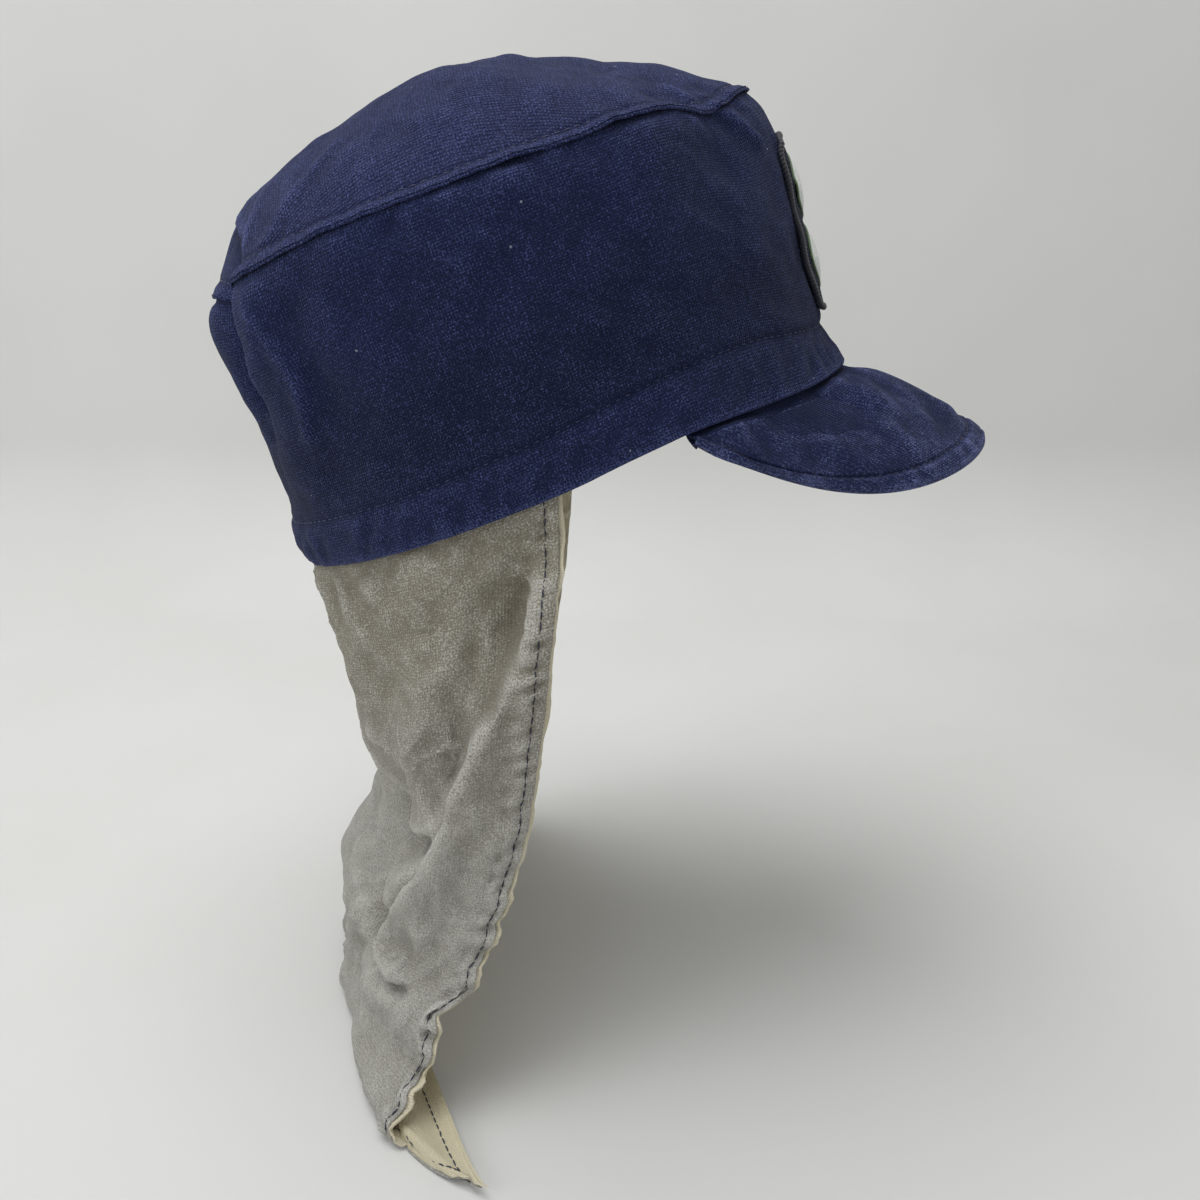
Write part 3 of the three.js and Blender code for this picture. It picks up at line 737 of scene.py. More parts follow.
@dataclass(frozen=True)
class Seam:
    """A row of lockstitches along a line on the cloth."""

    name: str
    finish: Finish
    slot: str
    length: float = 2.5
    gap: float = 0.7
    width: float = 0.5
    sink: float = 0.05
    seed: int = 5
    unevenness: float = 0.05

    def build(self, lines: Sequence[tuple[Grid, Grid]]) -> bpy.types.Object:
        """Sew the seam: one stitch is modelled and copied along each line.

        Args:
            lines: Points along the cloth and the cloth's normals there, for each line.

        Returns:
            The seam's object, with every stitch in it.
        """
        bpy.ops.object.select_all(action="DESELECT")
        bpy.ops.mesh.primitive_uv_sphere_add(segments=8, ring_count=6, radius=0.5)
        stitch = bpy.context.active_object
        stitch.name = self.name
        bpy.ops.object.mode_set(mode="EDIT")
        bpy.ops.mesh.select_all(action="SELECT")
        bpy.ops.transform.rotate(value=math.pi / 2, orient_axis="Y", center_override=(0, 0, 0))
        bpy.ops.transform.resize(value=(self.length, self.width, self.width * 0.8))
        bpy.ops.object.mode_set(mode="OBJECT")
        shape = np.array([vertex.co for vertex in stitch.data.vertices])
        shape[:, 2] -= 0.5 * self.width * (2 * shape[:, 0] / self.length) ** 2
        rings = [tuple(face.vertices) for face in stitch.data.polygons]
        random = np.random.default_rng(self.seed)
        vertices: list[Grid] = []
        faces: list[tuple[int, ...]] = []
        for points, normals in lines:
            for middle, ahead, normal in self._places(points, normals):
                sideways = np.cross(normal, ahead)
                tilt = random.normal(0, self.unevenness)
                turned = ahead + tilt * sideways
                axes = np.stack([turned, sideways - tilt * ahead, normal])
                base = sum(len(block) for block in vertices)
                vertices.append(middle + shape @ axes - normal * self.sink)
                faces.extend(tuple(base + corner for corner in ring) for ring in rings)
        mesh = bpy.data.meshes.new(self.name)
        mesh.from_pydata((np.concatenate(vertices) * MM).tolist(), [], faces)
        old = stitch.data
        stitch.data = mesh
        bpy.data.meshes.remove(old)
        choose(stitch)
        bpy.ops.object.shade_smooth()
        attach(stitch, self.finish)
        return stitch

    def sew_round(self, face: Callable[..., Grid], place: float, lift: float) -> bpy.types.Object:
        """Sew the seam once round the cap.

        Args:
            face: Gives points of the cloth, by turns, places and distances above it.
            place: Where the seam is, as the face's second value.
            lift: How far above the cloth the stitches lie.

        Returns:
            The seam's object.
        """
        turn = np.linspace(0, 360, 1200)
        where = np.full(turn.shape, place)
        line, base = (face(turn, where, np.full(turn.shape, lift - depth)) for depth in (0, 1))
        return self.build([(line, line - base)])

    def _places(self, points: Grid, normals: Grid) -> list[tuple[Grid, Grid, Grid]]:
        """Middle, heading and normal of each stitch along a line."""
        steps = np.linalg.norm(np.diff(points, axis=0), axis=1)
        runs = np.concatenate(([0], np.cumsum(steps)))
        count = int((runs[-1] - self.gap) // (self.length + self.gap))
        middles = (np.arange(count) + 0.5) * runs[-1] / max(count, 1)
        after, before = (read_along(points, runs, middles + way * self.length / 2) for way in (1, -1))
        aheads = unit(after - before)
        ups = read_along(normals, runs, middles)
        ups -= aheads * np.einsum("ij,ij->i", ups, aheads)[:, None]
        return list(zip((after + before) / 2, aheads, unit(ups)))


# ---------------------------------------------------------------------------------------------
# The cap.


@dataclass
class CapForm:
    """The cap's form as worn, in its own frame, with its front lifted by its tilt.

    A turn is an angle round the cap in degrees: 0 at the front, 90 at the near side, 180 behind.
    A level of 0 is the rim, 1 is the seam of the top and 2 is the middle of the top.
    """

    tilt: float = 20.0
    girth: float = 585.0
    egg: float = 0.06
    hem_height: float = 17.0
    seam_height: float = 92.6
    least_normal: float = 1e-6
    lines: Table = Table(
        ("turn", "rim", "hem", "seam"),
        (
            (0, 0.8, 15.5, 91.8),
            (22, 1.8, 16.8, 90.0),
            (35, 2.4, 19.8, 87.2),
            (47, 3.8, 22.8, 90.6),
            (68, 6.0, 23.5, 90.8),
            (90, 3.6, 20.0, 91.2),
            (115, 1.9, 17.2, 91.0),
            (137, 1.1, 16.4, 88.0),
            (149, 1.0, 16.2, 88.2),
            (164, 1.0, 16.4, 90.8),
            (180, 1.0, 16.6, 91.4),
        ),
    )
    wall: Table = Table(
        ("height", "front", "back", "half"),
        (
            (0, 99.0, 100.2, 83.0),
            (5, 97.4, 101.4, 83.3),
            (11, 95.4, 101.4, 82.9),
            (16.5, 94.6, 100.0, 81.8),
            (20, 95.4, 98.4, 82.0),
            (36, 96.2, 95.6, 81.5),
            (56, 97.2, 95.2, 82.0),
            (74, 97.8, 96.2, 81.8),
            (86, 96.4, 95.0, 80.8),
            (92.6, 93.4, 92.4, 79.2),
        ),
    )
    top: Table = Table(
        ("share", "front", "side", "back"),
        (
            (0, 130.2, 130.2, 130.2),
            (0.2, 128.4, 129.0, 127.6),
            (0.4, 122.0, 125.4, 123.4),
            (0.6, 113.4, 118.4, 118.6),
            (0.75, 106.4, 111.0, 114.2),
            (0.86, 100.6, 103.6, 107.4),
            (0.94, 96.2, 96.8, 98.6),
            (1, 92.6, 92.6, 92.6),
        ),
    )
    wall_folds: tuple[Fold, ...] = (
        Fold((226, 112), (218, 78), (246, 26), 26, 7, 4.5, 1.7),
        Fold((238, 112), (236, 80), (246, 44), 8, 12, -6.5),
        Fold((262, 92), (256, 62), (262, 20), 9, 16, 2.6),
        Fold((150, 60), (185, 50), (215, 22), 22, 22, -1.6),
        Fold((52, 98), (58, 80), (80, 58), 9, 12, -2.4),
        Fold((340, 104), (352, 76), (338, 30), 12, 20, 3.2),
        Fold((328, 98), (334, 70), (326, 40), 14, 10, -4.0),
    )
    wall_lines: tuple[Shape, ...] = (
        Crease(((221, 93), (215, 80), (212, 66), (213, 56), (219, 38)), 1.7, 3.2),
        Crease(((205, 86), (202, 66), (208, 40)), -1.3, 6.5),
        Crease(((216, 84), (224, 70), (240, 62), (252, 46)), 1.0, 3.4),
        Crease(((247, 100), (243, 78), (250, 52)), -3.0, 6.5),
        Crease(((200, 88), (182, 76), (160, 72)), -1.1, 6.0),
        Crease(((56, 96), (50, 90), (46, 84), (42, 79), (38, 76)), 1.4, 2.2, 4.0),
        Crease(((30, 83), (25, 78), (24, 69), (18, 55)), 0.7, 1.8),
        Crease(((224, 2), (229, 9), (231, 16)), 0.7, 1.8, 3.0),
        Crease(((236, 3), (241, 9), (244, 16)), -0.8, 2.0, 3.0),
        Crease(((249, 2), (254, 9), (256, 16)), 0.7, 1.8, 3.0),
    )
    top_folds: tuple[Fold, ...] = (
        Fold((-60, 76), (-46, 62), (-22, 24), 10, 12, 2.2, 1.5),
        Fold((-46, 92), (-36, 78), (-26, 62), 9, 8, -3.5),
        Fold((-52, -82), (-40, -62), (-28, -30), 12, 12, -1.8),
        Fold((56, 82), (44, 64), (20, 30), 12, 10, 2.0),
    )

    def plan(self, turn: Grid, front: Grid, back: Grid, half: Grid, taper: Grid) -> Grid:
        """Points of an egg-shaped plan outline, wider behind.

        Args:
            turn: Turns round the outline, in degrees.
            front: Reach forward.
            back: Reach back.
            half: Half the width.
            taper: How far the plan is drawn in from an oval, where 1 is an oval.

        Returns:
            X and Y on the last axis.
        """
        cosine, sine = np.cos(np.radians(turn)), np.sin(np.radians(turn))
        aside = np.sqrt(np.maximum(1 - np.abs(cosine) ** (2 / taper), 0)) ** taper
        x = -half * np.sign(sine) * aside * (1 - self.egg * cosine)
        y = -np.where(cosine > 0, front, back) * cosine
        return np.stack([x, y], axis=-1)

    def surface(self, turn: Grid, level: Grid) -> Grid:
        """Points of the base surface, the outer face of the side band."""
        height = np.minimum(level, 1) * self.seam_height
        share = 2 - np.maximum(level, 1)
        reads = [self.wall.read(name, height) for name in ("front", "back", "half")]
        flat = self.plan(turn, *reads, np.ones(turn.shape)) * share[..., None]
        angle = np.radians(turn)
        aside = np.sin(angle) ** 2
        ahead = np.maximum(np.cos(angle), 0) ** 2
        from_front = np.degrees(np.arccos(np.clip(np.cos(angle), -1, 1)))
        rim, hem, seam = (self.lines.read(name, from_front) for name in ("rim", "hem", "seam"))
        dome = self.top.read("side", share) * aside + self.top.read("front", share) * ahead
        dome += self.top.read("back", share) * (1 - aside - ahead)
        dome += (seam - self.seam_height) * share**4
        dome += folded(self.top_folds, flat[..., 0], flat[..., 1]) * ease(0, 0.2, level - 1)
        upper = (height - self.hem_height) / (self.seam_height - self.hem_height)
        side = np.where(
            height > self.hem_height,
            hem + (seam - hem) * upper,
            rim + (hem - rim) * height / self.hem_height,
        )
        return np.concatenate([flat, np.where(level > 1, dome, side)[..., None]], axis=-1)

    def normal(self, turn: Grid, level: Grid) -> Grid:
        """Outward unit normals of the base surface, straight up at the middle of the top."""
        step = 0.01
        high = np.minimum(level + step, 2 - step)
        up = self.surface(turn, high) - self.surface(turn, np.maximum(level - step, 0))
        round_ = self.surface(turn + 1, level) - self.surface(turn - 1, level)
        normal = np.cross(up, round_)
        shrunk = np.linalg.norm(normal, axis=-1, keepdims=True) <= self.least_normal
        return np.where(shrunk, [0.0, 0.0, 1.0], unit(normal))

    def along_girth(self, turn: Grid) -> Grid:
        """Millimetres round the girth from the front for a turn."""
        return (turn % 360) * self.girth / 360

    def point(self, turn: Grid, level: Grid, outside: Grid) -> Grid:
        """Points at a distance outside the base surface, with the side band's folds."""
        faded = ease(-0.1, 0.5, level) * (1 - ease(1, 1.35, level))
        height = np.minimum(level, 1.2) * self.seam_height
        fold = folded(self.wall_folds + self.wall_lines, self.along_girth(turn), height) * faded
        return self.surface(turn, level) + self.normal(turn, level) * (outside + fold)[..., None]

    def worn(self, points: Grid) -> Grid:
        """Points of the cap's frame in the frame of the hat."""
        c, s = math.cos(math.radians(self.tilt)), math.sin(math.radians(self.tilt))
        x, y, z = points[..., 0], points[..., 1], points[..., 2]
        return np.stack([x, y * c + z * s, z * c - y * s], axis=-1)


@dataclass
class SideBand:
    """The cap's side: canvas with a turned hem round the rim and a stitch line above it."""

    form: CapForm
    columns: int = 430
    row_pitch: float = 1.35
    cloth: float = 0.9
    hem_gap: float = 1.9
    hem_inside: float = 15.0
    allowance: float = 5.0
    top_reach: float = 85.0
    groove_depth: float = 0.5
    slow: tuple[Ripple, ...] = (Ripple(55, 0.7, 11), Ripple(21, 0.34, 12))
    fine: Ripple = Ripple(9, 0.1, 13)
    wrinkles: Ripple = Ripple(34, 0.35, 14, 0.5, 30)
    roping: Ripple = Ripple(7, 0.42, 15, 2.2, 35)
    puckers: Ripple = Ripple(10, 0.32, 16, 3.0)

    def relief(self, turn: Grid, level: Grid) -> Grid:
        """Unevenness of the canvas outside its form, in millimetres."""
        girth = self.form.along_girth(turn)
        height = level * self.form.seam_height
        loop = 1 - ease(0, 20, girth) * (1 - ease(self.form.girth - 20, self.form.girth, girth))
        slow = folded(self.slow, girth, height) + self.wrinkles.creases(girth, height)
        hem = self.form.hem_height
        groove = 0.15 * bump(height, hem - 2.6, 1.8) - self.groove_depth * bump(height, hem, 0.9)
        roping = self.roping.relief(girth, height) * bump(height, hem * 0.45, hem * 0.42)
        puckers = self.puckers.relief(girth, height) * bump(height, self.form.seam_height, 9)
        under = 1 - ease(self.form.seam_height - 3.0, self.form.seam_height - 0.5, height)
        wide = ease(hem, hem + 14, height)
        slow *= (0.35 + 0.65 * wide) * (1 - loop)
        fine = self.fine.relief(girth, height)
        return (slow + puckers) * under - 0.3 * (1 - under) + fine + groove + roping

    def face(self, turn: Grid, level: Grid, outside: Grid) -> Grid:
        """Points of the canvas in the hat's frame, at a distance outside its face."""
        return self.form.worn(self.form.point(turn, level, outside + self.relief(turn, level)))

    def build(self) -> list[bpy.types.Object]:
        """Make the side band and its hem stitches."""
        form = self.form
        turns = np.arange(self.columns + 1) * 360 / self.columns
        inside = np.arange(self.hem_inside, 1.2, -self.row_pitch)
        rounds = np.radians(np.arange(-70, 71, 28))
        radius = self.hem_gap / 2
        outside = np.arange(1.0, form.seam_height + self.allowance, self.row_pitch)
        heights = np.concatenate((inside, radius * (1 - np.cos(rounds)), outside))
        under = np.full(inside.shape, -self.hem_gap)
        offsets = np.concatenate((under, radius * (np.sin(rounds) - 1), 0 * outside))
        turn, height = np.meshgrid(turns, heights)
        level = np.where(
            height > form.seam_height,
            1 + (height - form.seam_height) / self.top_reach,
            height / form.seam_height,
        )
        offset = np.broadcast_to(offsets[:, None], turn.shape)
        points = self.face(turn, level, offset)
        shaded = proud(points[:, :-1], True, 3, -1.0)
        run = np.concatenate(([0], np.cumsum(np.abs(np.diff(heights)))))
        flat = np.stack([turn * form.girth / 360, np.broadcast_to(run[:, None], turn.shape)], axis=-1)
        up = height[:, :-1]
        edge = 0.25 * bump(up, 0.5, 2.5) + 0.08 * bump(up, form.hem_height - 2, 2.5)
        # Real wear at the rim and on the ridge above the hem, with painted light on ridges and painted
        # shade in hollows, from how proud the canvas stands.
        wear_and_shade = 0.42 + 0.35 * shaded + edge
        # Painted shade: the canvas is darkened in a band about 32 mm up, where the lower wall gets less
        # light from above.
        fall_tone_and_shading = 0.9 * bump(up, 32, 20)
        piece = ClothMesh(
            "crown_side_band", points[:, :-1], flat, self.cloth, wraps=True, wear_and_shade=wear_and_shade, fall_tone_and_shading=fall_tone_and_shading
        ).build()
        attach(piece, Finish.NAVY_CANVAS)
        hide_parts("crown_side")
        stitches = Seam(
            "hem_stitches", Finish.FADED_THREAD, "navy_canvas", length=2.2, gap=1.0, width=0.38, sink=0.1
        )
        return [piece, stitches.sew_round(self.face, form.hem_height / form.seam_height, 0.16)]


@dataclass
class CrownTip:
    """The top of the crown: an oval of canvas whose seam stands up as a welt round the side."""

    form: CapForm
    columns: int = 400
    reach: float = 86.0
    cloth: float = 1.2
    rest: float = 0.75
    welt: float = 0.35
    welt_width: float = 2.5
    stitch_at: float = 3.7
    groove_depth: float = 0.4
    lines: tuple[Shape, ...] = (
        Lap(
            ((-14, 74), (-20, 73), (-33, 70.5), (-56, 63)),
            lift=0.8, over=7.0, sink=2.2, under=9.0, edge=1.3, fade=9.0,
        ),
        Crease(((-60, 63), (-59.5, 50), (-55, 37), (-45, 25)), 1.0, 2.6),
        Crease(((-36, -62), (-41, -68), (-43, -73), (-43, -77)), 1.3, 2.6, 4.0),
        Crease(((-44, -58), (-50, -64), (-52, -69)), -1.4, 4.0, 4.0),
        Crease(((10, 62), (26, 44), (34, 22)), 0.8, 3.0),
    )
    slow: tuple[Ripple, ...] = (Ripple(52, 0.7, 21), Ripple(20, 0.36, 22))
    fine: Ripple = Ripple(8, 0.09, 23)
    wrinkles: Ripple = Ripple(40, 0.4, 24, 0.5, -35)
    rope: Ripple = Ripple(3.0, 0.16, 25, 3.0, 35)
    pull: Ripple = Ripple(11, 0.22, 26, 3.0)
    wave: Ripple = Ripple(30, 1.0, 27)

    def relief(self, turn: Grid, inward: Grid) -> Grid:
        """Unevenness of the top above its rest, in millimetres, by the distance in from its seam."""
        form = self.form
        girth = form.along_girth(turn)
        level = 1 + inward / self.reach
        flat = form.surface(turn, level)[..., :2]
        x, y = flat[..., 0], flat[..., 1]
        slow = (folded(self.slow, x, y) + self.wrinkles.creases(x, y)) * ease(2, 24, inward)
        sharp = folded(self.lines, x, y) * ease(1, 5, inward)
        raised = self.welt * (1 - ease(self.welt_width - 0.8, self.welt_width + 0.8, inward))
        groove = -self.groove_depth * bump(inward, self.stitch_at, 0.6)
        rope = self.rope.relief(girth, inward) * (1 - ease(2.4, 4.5, inward))
        pull = self.pull.relief(girth, inward) * (1 - ease(5, 15, inward))
        return slow + self.fine.relief(x, y) + sharp + raised + groove + rope + pull

    def face(self, turn: Grid, inward: Grid, above: Grid) -> Grid:
        """Points of the top in the hat's frame, at a distance above its face."""
        level = np.minimum(1 + inward / self.reach, 2)
        outside = self.rest + above + self.relief(turn, inward)
        return self.form.worn(self.form.point(turn, level, outside))

    def build(self) -> list[bpy.types.Object]:
        """Make the top and its topstitches."""
        turns = np.arange(self.columns + 1) * 360 / self.columns
        rounds = np.radians(np.arange(-90, 61, 30))
        radius = (self.rest + self.welt - 0.2) / 2
        roll_in = radius * (1 - np.cos(rounds))
        roll_up = radius * (np.sin(rounds) - 1)
        near = np.arange(radius * 1.1, 6, 0.6)
        far = np.linspace(6, self.reach, 54)
        inwards = np.concatenate((roll_in, near, far))
        aboves = np.concatenate((roll_up, 0 * near, 0 * far))
        turn, inward = np.meshgrid(turns, inwards)
        above = np.broadcast_to(aboves[:, None], turn.shape)
        points = self.face(turn, inward, above)
        wave = 0.25 * self.wave.relief(self.form.along_girth(turn), 0 * turn)
        wave *= (1 - ease(0, 8, inward)) * ease(0, 20, turn) * (1 - ease(340, 360, turn))
        points[..., 2] += wave
        shaded = proud(points[:, :-1], True, 3, -1.0)
        flat = self.form.surface(turn, np.minimum(1 + inward / self.reach, 2))[..., :2] + UV_SPAN
        inner = inward[:, :-1]
        # Real wear on the welt, and painted shade along the groove of the topstitches.
        band = 0.14 * (1 - ease(1.8, 3.2, inner)) - 0.2 * bump(inner, self.stitch_at, 0.7)
        # Painted light on ridges and painted shade in hollows, from how proud the canvas stands, away
        # from the seam.
        wear_and_shade = 0.5 + 0.5 * shaded * ease(0, 8, inner) + band
        piece = ClothMesh(
            "crown_top", points[:, :-1], flat, self.cloth, wraps=True, pole=True, wear_and_shade=wear_and_shade
        ).build()
        attach(piece, Finish.FADED_CANVAS)
        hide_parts("crown_tip")
        stitches = Seam(
            "top_stitches", Finish.FADED_THREAD, "navy_canvas",
            length=2.3, gap=0.9, width=0.42, sink=0.1, seed=6,
        )
        return [piece, stitches.sew_round(self.face, self.stitch_at, 0.12)]


@dataclass
class Peak:
    """The peak: two layers of canvas over a stiffener, turned at the edge, with a raised border."""

    form: CapForm
    corner_turn: float = 66.0
    half_width: float = 75.0
    corner_y: float = -41.0
    corner_z: float = 5.4
    length: float = 95.5
    drop: float = 42.8
    drop_shape: float = 2.6
    roll: float = 0.7
    crown: float = 2.2
    crown_lean: float = 37.0
    under_rim: float = 1.6
    tuck: float = 6.0
    inset: float = 2.8
    thick: float = 2.6
    border: float = 6.5
    border_rise: float = 0.55
    groove_depth: float = 0.55
    edge_thinning: float = 0.35
    cloth: float = 0.8
    columns: int = 240
    dents: tuple[Fold, ...] = (
        Fold((-70, -56), (-58, -78), (-34, -100), 7, 8, -2.8),
        Fold((-46, -74), (-38, -94), (-36, -118), 4.5, 6, 2.2),
        Fold((-20, -92), (-12, -110), (-20, -128), 5, 6, 2.0),
        Fold((-30, -84), (-8, -100), (14, -104), 6, 7, -2.2),
        Fold((40, -80), (36, -100), (30, -122), 6, 6, 1.3),
        Fold((20, -90), (44, -84), (62, -66), 8, 8, -1.6),
        Fold((2, -94), (4, -112), (8, -130), 4, 5, 0.9),
    )
    slow: tuple[Ripple, ...] = (Ripple(30, 0.6, 31), Ripple(13, 0.55, 32))
    puckers: Ripple = Ripple(6, 0.2, 33)

    def base(self, across: Grid, out: Grid) -> Grid:
        """Points of the upper face's plain form, in the cap's frame."""
        turn = across * self.corner_turn
        level = np.maximum(-out, 0) * self.tuck / self.form.seam_height
        tucked = self.form.point(turn, level, np.full(turn.shape, -self.inset))
        tucked[..., 2] -= self.under_rim / 2
        widest = math.sin(math.radians(self.corner_turn))
        swing = np.arcsin(np.clip(np.sin(np.radians(turn)) / widest, -1, 1))
        forward = np.cos(swing)
        drop = self.drop * (1 - (1 - forward) ** self.drop_shape)
        edge = np.stack(
            [
                -self.half_width * np.sin(swing),
                self.corner_y - self.length * forward,
                self.corner_z - drop - self.roll,
            ],
            axis=-1,
        )
        root = self.form.point(turn, np.zeros(turn.shape), np.zeros(turn.shape))
        root[..., 2] -= self.under_rim
        share = np.clip(out, 0, 1)[..., None]
        point = root * (1 - share) + edge * share
        bulge = np.sin(np.pi * np.clip(out, 0, 1)) * self.crown * forward
        lean = math.radians(self.crown_lean)
        point[..., 1] -= bulge * math.sin(lean)
        point[..., 2] += bulge * math.cos(lean)
        return np.where((out <= 0)[..., None], tucked, point)

    def relief(self, points: Grid, inset: Grid) -> Grid:
        """Unevenness of the upper face by its place and its distance in from the edge."""
        x, y = points[..., 0], points[..., 1]
        raised = self.border_rise * (1 - ease(self.border - 1.6, self.border + 0.4, inset))
        groove = -self.groove_depth * bump(inset, self.border + 0.3, 0.9)
        puckers = self.puckers.relief(x, y) * bump(inset, self.border * 0.6, self.border)
        inner = ease(self.border, self.border + 10, inset)
        return raised + groove + puckers + folded(self.slow + self.dents, x, y) * inner

    def laid_out(self, across: Grid, out: Grid) -> tuple[Grid, Grid, Grid]:
        """Points of the upper face's plain form, their distance in from the edge and its normals."""
        base = self.base(across, out)
        rim = self.base(across, np.ones(out.shape))
        return base, np.linalg.norm(rim - base, axis=-1), grid_normals(base, False)

    def build(self) -> list[bpy.types.Object]:
        """Make the peak and its border stitches."""
        across = np.linspace(-1, 1, self.columns + 1)
        across = np.sign(across) * (1 - (1 - np.abs(across)) ** 1.25)
        tucked, inner, outer = [-1, -0.5, 0, 0.012], np.linspace(0.03, 0.8, 46), np.linspace(0.81, 1, 24)
        across, out = np.meshgrid(across, np.concatenate((tucked, inner, outer)))
        base, inset, normal = self.laid_out(across, out)
        upper = base + normal * (self.relief(base, inset) * (out > 0))[..., None]
        lower = base - normal * (self.thick - self.edge_thinning * ease(2, 9, inset))[..., None]
        radius = self.thick / 2
        ahead = unit(base[-1] - base[-2])
        rolled = []
        for angle in np.radians(np.arange(60, -61, -30)):
            away = ahead * math.cos(angle) * radius * 0.8
            rolled.append(base[-1] + away + normal[-1] * (radius * math.sin(angle) - radius))
        points = self.form.worn(np.concatenate((upper[:-1], rolled, lower[:-1][::-1])))
        rows = points.shape[0]
        run = np.cumsum(np.linalg.norm(np.diff(points[:, self.columns // 2], axis=0), axis=-1))
        run = np.concatenate(([0], run))[:, None]
        flat = np.stack([points[..., 0], run + 0 * points[..., 0]], axis=-1)
        shaded = proud(points, False, 3)
        insets = np.concatenate((inset[:-1], np.zeros((len(rolled), across.shape[1])), inset[:-1][::-1]))
        border = 0.08 * (1 - ease(self.border - 2, self.border + 0.5, insets))
        # Painted shade in the dents and painted light on their rises, from how proud the canvas stands,
        # with real wear on the raised border.
        wear_and_shade = 0.45 + 0.55 * np.clip(shaded, -0.6, 0.5) + border
        # The lower face is made darker than the upper.
        wear_and_shade[rows // 2 + 6 :] -= 0.12
        piece = ClothMesh(
            "peak_canvas", points, flat + UV_SPAN, self.cloth, wear_and_shade=wear_and_shade, rounding=0, mirrored=True
        ).build()
        attach(piece, Finish.PEAK_CANVAS)
        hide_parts("peak")
        return [piece, self._stitches()]

    def _stitches(self) -> bpy.types.Object:
        """Sew the stitches in the groove inside the border."""
        across, out = np.meshgrid(np.linspace(-0.985, 0.985, 700), np.linspace(0.3, 1, 160))
        base, inset, normal = self.laid_out(across, out)
        face = base + normal * (self.relief(base, inset) + 0.1)[..., None]
        row = np.argmin(np.abs(inset - self.border - 0.3), axis=0)
        column = np.arange(across.shape[1])
        line, up = (self.form.worn(grid[row, column]) for grid in (face, normal))
        stitches = Seam(
            "peak_stitches", Finish.NAVY_THREAD, "navy_canvas",
            length=2.3, gap=0.9, width=0.42, sink=0.1, seed=7,
        )
        return stitches.build([(line, up)])


